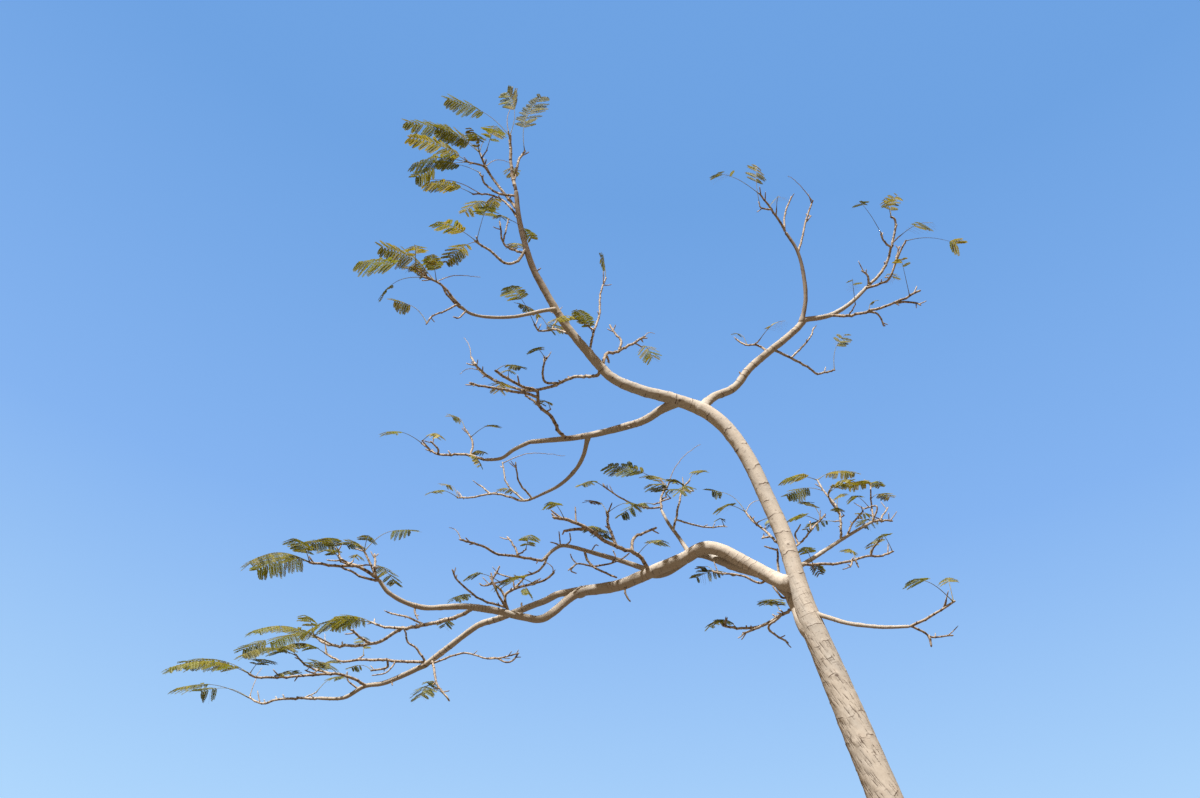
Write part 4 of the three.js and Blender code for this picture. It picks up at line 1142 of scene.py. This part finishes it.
def grow_mass(name, row, index):
    """Adds a whole mass, and returns the number of its shoots."""
    heap = twigs["brown" if index % 3 else "pale"]
    radius = row.radius * slim * mm
    roll_draw = seeded(index)
    bare = lost if name.startswith("right_") else in_full_leaf
    stem, in_leaf = grow_arm(name, springing(row), row, radius, heap, roll_draw, bare["fronds"])
    for number, fork in enumerate(row.forks):
        _, more = grow_arm(f"{name} fork {number}", perch(stem, fork.at), fork, radius * fork_girth, heap,
                           roll_draw, bare["fronds"])
        in_leaf += more
    low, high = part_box(name)
    space = (np.array(low) - margin, np.array(high) + margin)
    grown = 0
    for i in range(1 + finer_shoots * (in_leaf > leafy)):
        draw = seeded(first_seed + seeds_per_mass * index + i)
        way = shoot["before"] if (index + i) % 2 else shoot["behind"]
        grown += grow_shoot(stem, draw, way, 1 if i == 0 else finer, space, heap, bare["shoots"])
    return grown


shoots = sum(grow_mass(name, row, index) for index, (name, row) in enumerate(masses.items()))
print(shoots, "shoots;", {tint: sum(len(part) for part in parts) for tint, parts in leaves.items()})

# %% [markdown]
# Some small twigs stand out in the photograph, finer than the solids carry. Each is a row of [name,
# limb or twig that it springs from, share along that one, radius, steps]. Short dead stubs that
# stand or hang alone have no name, as nothing springs from them. A few fronds are added too, each
# a row of [limb or twig] and then the same numbers as above.

# %% Finer twigs
finer_twigs = [
    ["inner_hook", "sail_branch", 0.53, 8,
     [[75, -70, 315], [75, -55, 335], [80, -35, 345], [95, -30, 345]]],
    ["inner_fan", "inner_hook", 0.46, 6, [[95, 0, 205], [40, -35, 210], [65, -45, 215]]],
    ["inner_fan_low", "inner_fan", 0.68, 5, [[35, -55, 155], [40, -20, 15]]],
    ["inner_fan_high", "inner_fan", 0.55, 4.5, [[40, 50, 155], [55, 65, 145]]],
    ["inner_link", "inner_hook", 0.46, 6, [[65, 15, 10], [65, 20, 10], [70, 30, 10], [60, 45, 15]]],
    ["inner_thorn", "inner_link", 0.47, 5, [[55, 65, 35], [55, 70, 135]]],
    ["sail_thorn", "sail_branch", 0.47, 4.5, [[70, 60, 45], [25, 0, 20]]],
    ["crossing_hook", "crossing", 1, 3, [[50, 70, 95], [45, 50, 150], [40, 30, 160]]],
    ["crossing_peg", "crossing", 0.43, 6, [[15, 35, 195], [35, 75, 240]]],
    ["crossing_right", "crossing", 0.49, 5, [[45, 0, 330], [60, 10, 330], [40, 15, 330]]],
    ["crossing_left", "crossing", 0.23, 7, [[45, 55, 205], [70, 40, 200], [55, 60, 330], [50, 65, 330]]],
    ["crossing_claw", "crossing_left", 0.51, 5.5, [[30, -35, 165], [35, 0, 165], [30, 45, 160]]],
    ["under_twin", "low_reach_under fork 0", 0.64, 6.5,
     [[65, -5, 340], [65, -35, 335], [50, 0, 340], [65, 45, 330]]],
    ["crest_twin", "low_crest", 1, 7.5, [[65, 0, 200], [50, 10, 200], [55, 25, 200], [55, 10, 200]]],
    ["crest_peg", "crest_spray fork 1", 0.59, 5, [[45, 5, 160], [65, 15, 160]]],
    ["middle_twin", "low_middle", 0.29, 7, [[75, 30, 155], [80, 30, 155], [90, 20, 155], [70, 25, 155]]],
    ["crest_link", "low_crest", 0.54, 6, [[40, -80, 270], [55, -65, 340]]],
    ["reach_riser", "low_reach", 1, 7.5, [[115, 50, 210], [65, 30, 200], [50, 60, 220], [45, 65, 225]]],
    ["reach_hook", "low_reach_spray", 0.28, 5.5, [[90, -60, 220], [50, -35, 205], [65, -15, 200]]],
    ["end_peg", "low_end", 0.59, 6.5, [[85, 35, 195], [65, 70, 225]]],
    ["bough_peg", "low_bough", 0.13, 8, [[110, 84, 60], [105, 86, 60]]],
    ["bough_peg_side", "bough_peg", 0.96, 6, [[45, 10, 195], [40, 10, 195]]],
    ["trunk_hook", "low_web", 0.7, 7, [[60, 0, 180], [42, 50, 180], [52, 55, 180]]],
    ["long_twin", "left_long", 0.95, 8, [[65, 30, 195], [65, 45, 200], [75, 55, 205]]],
    ["long_claw", "left_long", 0.94, 6, [[100, -60, 235], [40, -10, 205]]],
    ["arch_twin", "leader_top", 0.97, 8, [[110, 25, 160], [95, 40, 155], [150, 55, 145], [185, 65, 130]]],
    ["riser_peg", "riser_top", 0.5, 6, [[85, 70, 45], [95, 70, 135]]],
    ["rise_twin", "back_bough", 0.73, 7, [[110, 60, 40], [115, 50, 30], [90, 50, 30]]],
    ["rise_claw", "rise_twin", 0.71, 5, [[35, -30, 345]]],
    ["back_prong", "trunk_back fork 0", 0.33, 6,
     [[25, 70, 130], [60, 75, 110], [60, 55, 25], [35, 60, 30]]],
    ["back_peg", "trunk_back fork 0", 0.66, 6, [[75, 75, 80]]],
]

# %% Single stubs
single_stubs = [
    ["low_inner", 0.8, 5, [[105, 86, 200]]],
    ["sail_branch", 0.74, 5, [[45, 5, 215], [35, 0, 210]]],
    ["sail_branch", 0.75, 4.5, [[100, 84, 200]]],
    ["sail_branch", 0.7, 5, [[70, 50, 50], [60, 80, 120]]],
    ["back_low", 0.54, 6, [[55, -70, 20]]],
    ["side_spray fork 0", 0.4, 7, [[60, -85, 0]]],
    ["low_bough", 0.82, 7, [[90, -78, 320], [45, -60, 350]]],
    ["trunk", 0.575, 16, [[118, 12, 335]]],
    ["low_reach", 0.35, 7, [[60, 70, 120]]],
    ["low_end", 0.3, 6, [[50, -60, 300]]],
    ["middle_bough", 0.35, 6, [[50, -40, 300]]],
    ["right_bough", 0.42, 6, [[45, 60, 200]]],
    ["leader_top", 0.55, 6, [[50, 20, 330]]],
    ["low_twin", 0.6, 7, [[55, 60, 60]]],
]
finer_fronds = [
    ["crown_left", 1, 220, 5, 255, 0.85, "gold"],
    ["crown_left fork 0", 1, 420, 12, 200, 0.85, "olive gold"],
    ["arch_twin", 1, 330, 20, 175, 0.5, "fresh"],
]
finer_roll = 0.15        # 0.5 would lay a frond level across
lines.update(routes)
for name, carrier, share, radius, steps in finer_twigs:
    lines[name] = stepped(perch(lines[carrier], share), steps)
    scars = grow_twig(twigs["brown"], lines[name], radius * mm)
    grow_stubs(twigs["brown"], lines[name], scars, radius * mm)
for name, share, radius, steps in single_stubs:
    grow_twig(twigs["brown"], stepped(perch(lines[name], share), steps), radius * mm)
for name, *leaf in finer_fronds:
    grow_frond(lines[name], Frond(*leaf), finer_roll)
print(len(finer_twigs), "finer twigs,", len(single_stubs), "stubs and", len(finer_fronds), "finer fronds")

# %% Join the leaflets of each tint
def leaf_piece(name, parts):
    quads = np.vstack(parts)
    corner = np.arange(len(quads))[:, None] * 4
    faces = np.vstack([corner + [0, 1, 2], corner + [0, 2, 3]])
    return mesh_piece(name, quads.reshape(-1, 3), faces.tolist())


leaf_pieces = {tint: leaf_piece("leaves_" + tint, parts) for tint, parts in leaves.items()}
wood_pieces = {tone: heap.piece("twigs_" + tone) for tone, heap in twigs.items()}
wood_pieces.update({tone: heap.piece("stalks_" + tone) for tone, heap in stalks.items()})

# %% [markdown]
# ## Materials
# The bark is a pale warm grey, darker in the cracks and rings, with rosy and grey patches. The
# same marks that shaped the mesh colour it. On the two limbs at the top, painted shade turns it
# browner and darker with height. A leaf is opaque, but part of the light that falls on it comes through,
# yellower.

# %% A material's tree, base and surface
def material(name):
    made = bpy.data.materials.new(name)
    made.use_nodes = True
    tree = made.node_tree
    return made, tree, tree.nodes["Principled BSDF"]


def connect(wire, shader, socket):
    wire.tree.links.new(wire.socket, shader.inputs[socket])


def plain(tree, colour):
    made = Wire(tree).node("ShaderNodeRGB")
    made.socket.default_value = colour
    return made


def place_in(tree):
    """Where a point is, in its object's own coordinates."""
    return Wire(tree).node("ShaderNodeTexCoord", out=3)


def roughen(shader, fine, roughness):
    """Makes a surface matt, with bumps that follow the fine noise."""
    shader.inputs["Roughness"].default_value = roughness
    bump = fine.node("ShaderNodeBump", {}, {"Strength": 0.5, "Distance": 1 * mm, "Height": fine})
    connect(bump, shader, "Normal")


# %% Bark
buff = (0.47, 0.41, 0.345, 1)
ash = (0.40, 0.365, 0.325, 1)
rosy = (0.39, 0.30, 0.235, 1)
crack_brown = (0.10, 0.07, 0.05, 1)
ring_brown = (0.09, 0.056, 0.038, 1)
bough_tan = (0.375, 0.32, 0.26, 1)
# painted shade: the brown below darkens the two top limbs between two heights, standing in for their shade
painted_shade_brown = (0.22, 0.165, 0.12, 1)
painted_shade_from, painted_shade_to = 6.3, 6.8
fine_grain = (0.0022, 0.0022, 0.009)


def bark_material(name, with_painted_shade):
    """Bark for a limb. With painted shade, the bark turns darker brown between two heights."""
    made, tree, shader = material(name)
    marks = bark_marks(tree)
    coats = [(buff, marks["stout"]), (ash, marks["patches"].ramp(0.45, 0.7) * 0.8)]
    if with_painted_shade:
        # painted shade, darker and browner with height
        height = Wire(tree).node("ShaderNodeSeparateXYZ", {}, {0: place_in(tree)}, out=2)
        coats.append((painted_shade_brown, height.ramp(painted_shade_from, painted_shade_to) * 0.85))
    coats += [
        (rosy, marks["lumps"].ramp(0.55, 0.75) * 0.35),
        (ring_brown, marks["rings"] * 0.9),
        (crack_brown, marks["cracks"] * 0.9),
        (ring_brown, marks["dashes"] * 0.45),
        (ring_brown, marks["knots"].ramp(0.08, 0.04) * 0.8),
        (crack_brown, marks["pits"].ramp(0.6, 0.75) * 0.3),
    ]
    base = plain(tree, bough_tan)
    for colour, mask in coats:
        base = base.tinted(colour, mask)
    connect(base, shader, "Base Color")
    roughen(shader, marks["grain"].stretched(fine_grain, 2).noise(3, 0.6), 0.85)
    return made


bark = bark_material("bark", False)
painted_shade_bark = bark_material("bark_painted_shade", True)
# the limbs that carry the painted shade
painted_shade_limbs = ["leader_top", "right_upright"]

# %% Twigs and stalks
scar_brown = (0.06, 0.035, 0.024, 1)
mottle_size = (0.018, 0.018, 0.018)
pore_size = (0.003, 0.003, 0.003)


def wood(name, colour, shade):
    made, tree, shader = material(name)
    place = place_in(tree)
    base = plain(tree, colour).tinted(shade, place.stretched(mottle_size).noise(3, 0.6).ramp(0.45, 0.68))
    base = base.tinted(scar_brown, read(tree, "scar", "FLOAT").ramp(0.25, 0.75) * 0.9)
    connect(base, shader, "Base Color")
    roughen(shader, place.stretched(pore_size).noise(), 0.8)
    return made


woods = {
    "pale": wood("twig_pale", (0.42, 0.35, 0.275, 1), (0.13, 0.08, 0.05, 1)),
    "brown": wood("twig_brown", (0.38, 0.295, 0.215, 1), (0.09, 0.052, 0.032, 1)),
    "green": wood("stalk_green", (0.20, 0.17, 0.06, 1), (0.13, 0.095, 0.04, 1)),
    "spent": wood("stalk_spent", (0.38, 0.30, 0.21, 1), (0.22, 0.16, 0.10, 1)),
}

# %% Leaves
# gold and dark are partly painted light: the gold of sunlit pinnae and the dark of pinnae in shade
leaf_colours = {
    "olive": (0.20, 0.175, 0.03),
    "dark": (0.10, 0.10, 0.025),
    "fresh": (0.20, 0.195, 0.032),
    "gold": (0.30, 0.24, 0.03),
    "dry": (0.12, 0.075, 0.035),
}
leaf_patch = (0.03, 0.03, 0.03)
lighter = 1.5
let_through = 0.42
filter_of_a_leaf = (1.1, 1.05, 0.42)


def leaf_material(tint, colour):
    made, tree, shader = material("leaf_" + tint)
    patches = place_in(tree).stretched(leaf_patch).noise().ramp(0.4, 0.7)
    base = plain(tree, (*colour, 1)).tinted((*(lighter * part for part in colour), 1), patches)
    connect(base, shader, "Base Color")
    shader.inputs["Roughness"].default_value = 0.6
    filtered = (*(part * kept for part, kept in zip(colour, filter_of_a_leaf)), 1)
    glow = Wire(tree).node("ShaderNodeBsdfTranslucent", {}, {"Color": filtered})
    surface = Wire(tree, shader.outputs[0])
    blade = surface.node("ShaderNodeMixShader", {}, {0: let_through, 1: surface, 2: glow})
    connect(blade, tree.nodes["Material Output"], "Surface")
    return made


# %% [markdown]
# ## Dressing the frame
# Each piece of bark stands for its own limb. The twigs, stalks and leaves are joined across the
# whole crown, each kind apart, so each of them stands for all the masses.

# %% Ride, replace, slot
for name, piece in bark_pieces.items():
    piece.data.materials.append(painted_shade_bark if name in painted_shade_limbs else bark)
    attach(piece, "root")
    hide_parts(name)
for tone, piece in wood_pieces.items():
    piece.data.materials.append(woods[tone])
for tint, piece in leaf_pieces.items():
    piece.data.materials.append(leaf_material(tint, leaf_colours[tint]))
for piece in [*wood_pieces.values(), *leaf_pieces.values()]:
    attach(piece, "root")
    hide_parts(*masses)
print(len(bark_pieces), "pieces of bark,", len(wood_pieces), "of twigs and stalks and",
      len(leaf_pieces), "of leaves")

# %% [markdown]
# ## Floor and light
# The floor is plain and pale, and the backdrop is a great ball that only the camera sees. Its blue
# is pale low down and deepens towards one direction, a little forward of overhead. The sun stands
# high, behind the camera and to the left: in the photograph it lights only the upper half of a
# level bough, and nearly all of the trunk. Its disc is wide, so its shadows are soft. A floor in
# full sun would also throw light up at the boughs, more than the photograph shows, so it is hidden
# from them, and a dim warm world fills the shade from every side instead.

# %% Floor
bpy.ops.object.select_all(action="DESELECT")
bpy.ops.mesh.primitive_plane_add(size=60)
floor = bpy.context.object
floor.name = "floor"
floor_pale, tree, shader = material("floor_pale")
shader.inputs["Base Color"].default_value = (0.17, 0.15, 0.125, 1)
shader.inputs["Roughness"].default_value = 0.9
floor.data.materials.append(floor_pale)
floor.visible_diffuse = False
floor.visible_shadow = False

# %% Backdrop
backdrop_radius = 45
deepest = (0.01, 0.17, 0.985)
pale_blue = (0.465, 0.72, 1.0, 1)
# a blue, where it starts on the way to the deepest place, and how far it takes to be reached
deeper_blues = [((0.235, 0.455, 0.875, 1), 0.4, 0.28), ((0.158, 0.364, 0.763, 1), 0.68, 0.19)]
bpy.ops.object.select_all(action="DESELECT")
bpy.ops.mesh.primitive_uv_sphere_add(segments=48, ring_count=24, radius=backdrop_radius)
backdrop = bpy.context.object
backdrop.name = "backdrop"
backdrop.visible_diffuse = False
backdrop.visible_glossy = False
backdrop.visible_shadow = False
backdrop_blue, tree, shader = material("backdrop_blue")
shader.inputs["Base Color"].default_value = (0, 0, 0, 1)
shader.inputs["Roughness"].default_value = 1
shader.inputs["Specular IOR Level"].default_value = 0
place = place_in(tree)
towards = tuple(part / backdrop_radius for part in deepest)
near = place.node("ShaderNodeVectorMath", {"operation": "DOT_PRODUCT"}, {0: place, 1: towards}, out=1)
blue = plain(tree, pale_blue)
for colour, start, run in deeper_blues:
    blue = blue.tinted(colour, (near - start) / run)
connect(blue, shader, "Emission Color")
shader.inputs["Emission Strength"].default_value = 1
backdrop.data.materials.append(backdrop_blue)

# %% Sun and fill
sun = in_scene("sun", bpy.data.lights.new("sun", "SUN"))
sun.data.energy = 9.1
sun.data.angle = math.radians(3)
sun.data.color = (1.0, 0.98, 0.94)
sun.rotation_euler = (math.radians(28), 0, math.radians(-30))
world = bpy.data.worlds.new("fill")
bpy.context.scene.world = world
world.use_nodes = True
fill = world.node_tree.nodes["Background"]
fill.inputs["Color"].default_value = (1.0, 0.76, 0.52, 1)
fill.inputs["Strength"].default_value = 0.35
bpy.context.scene.view_settings.view_transform = "Standard"
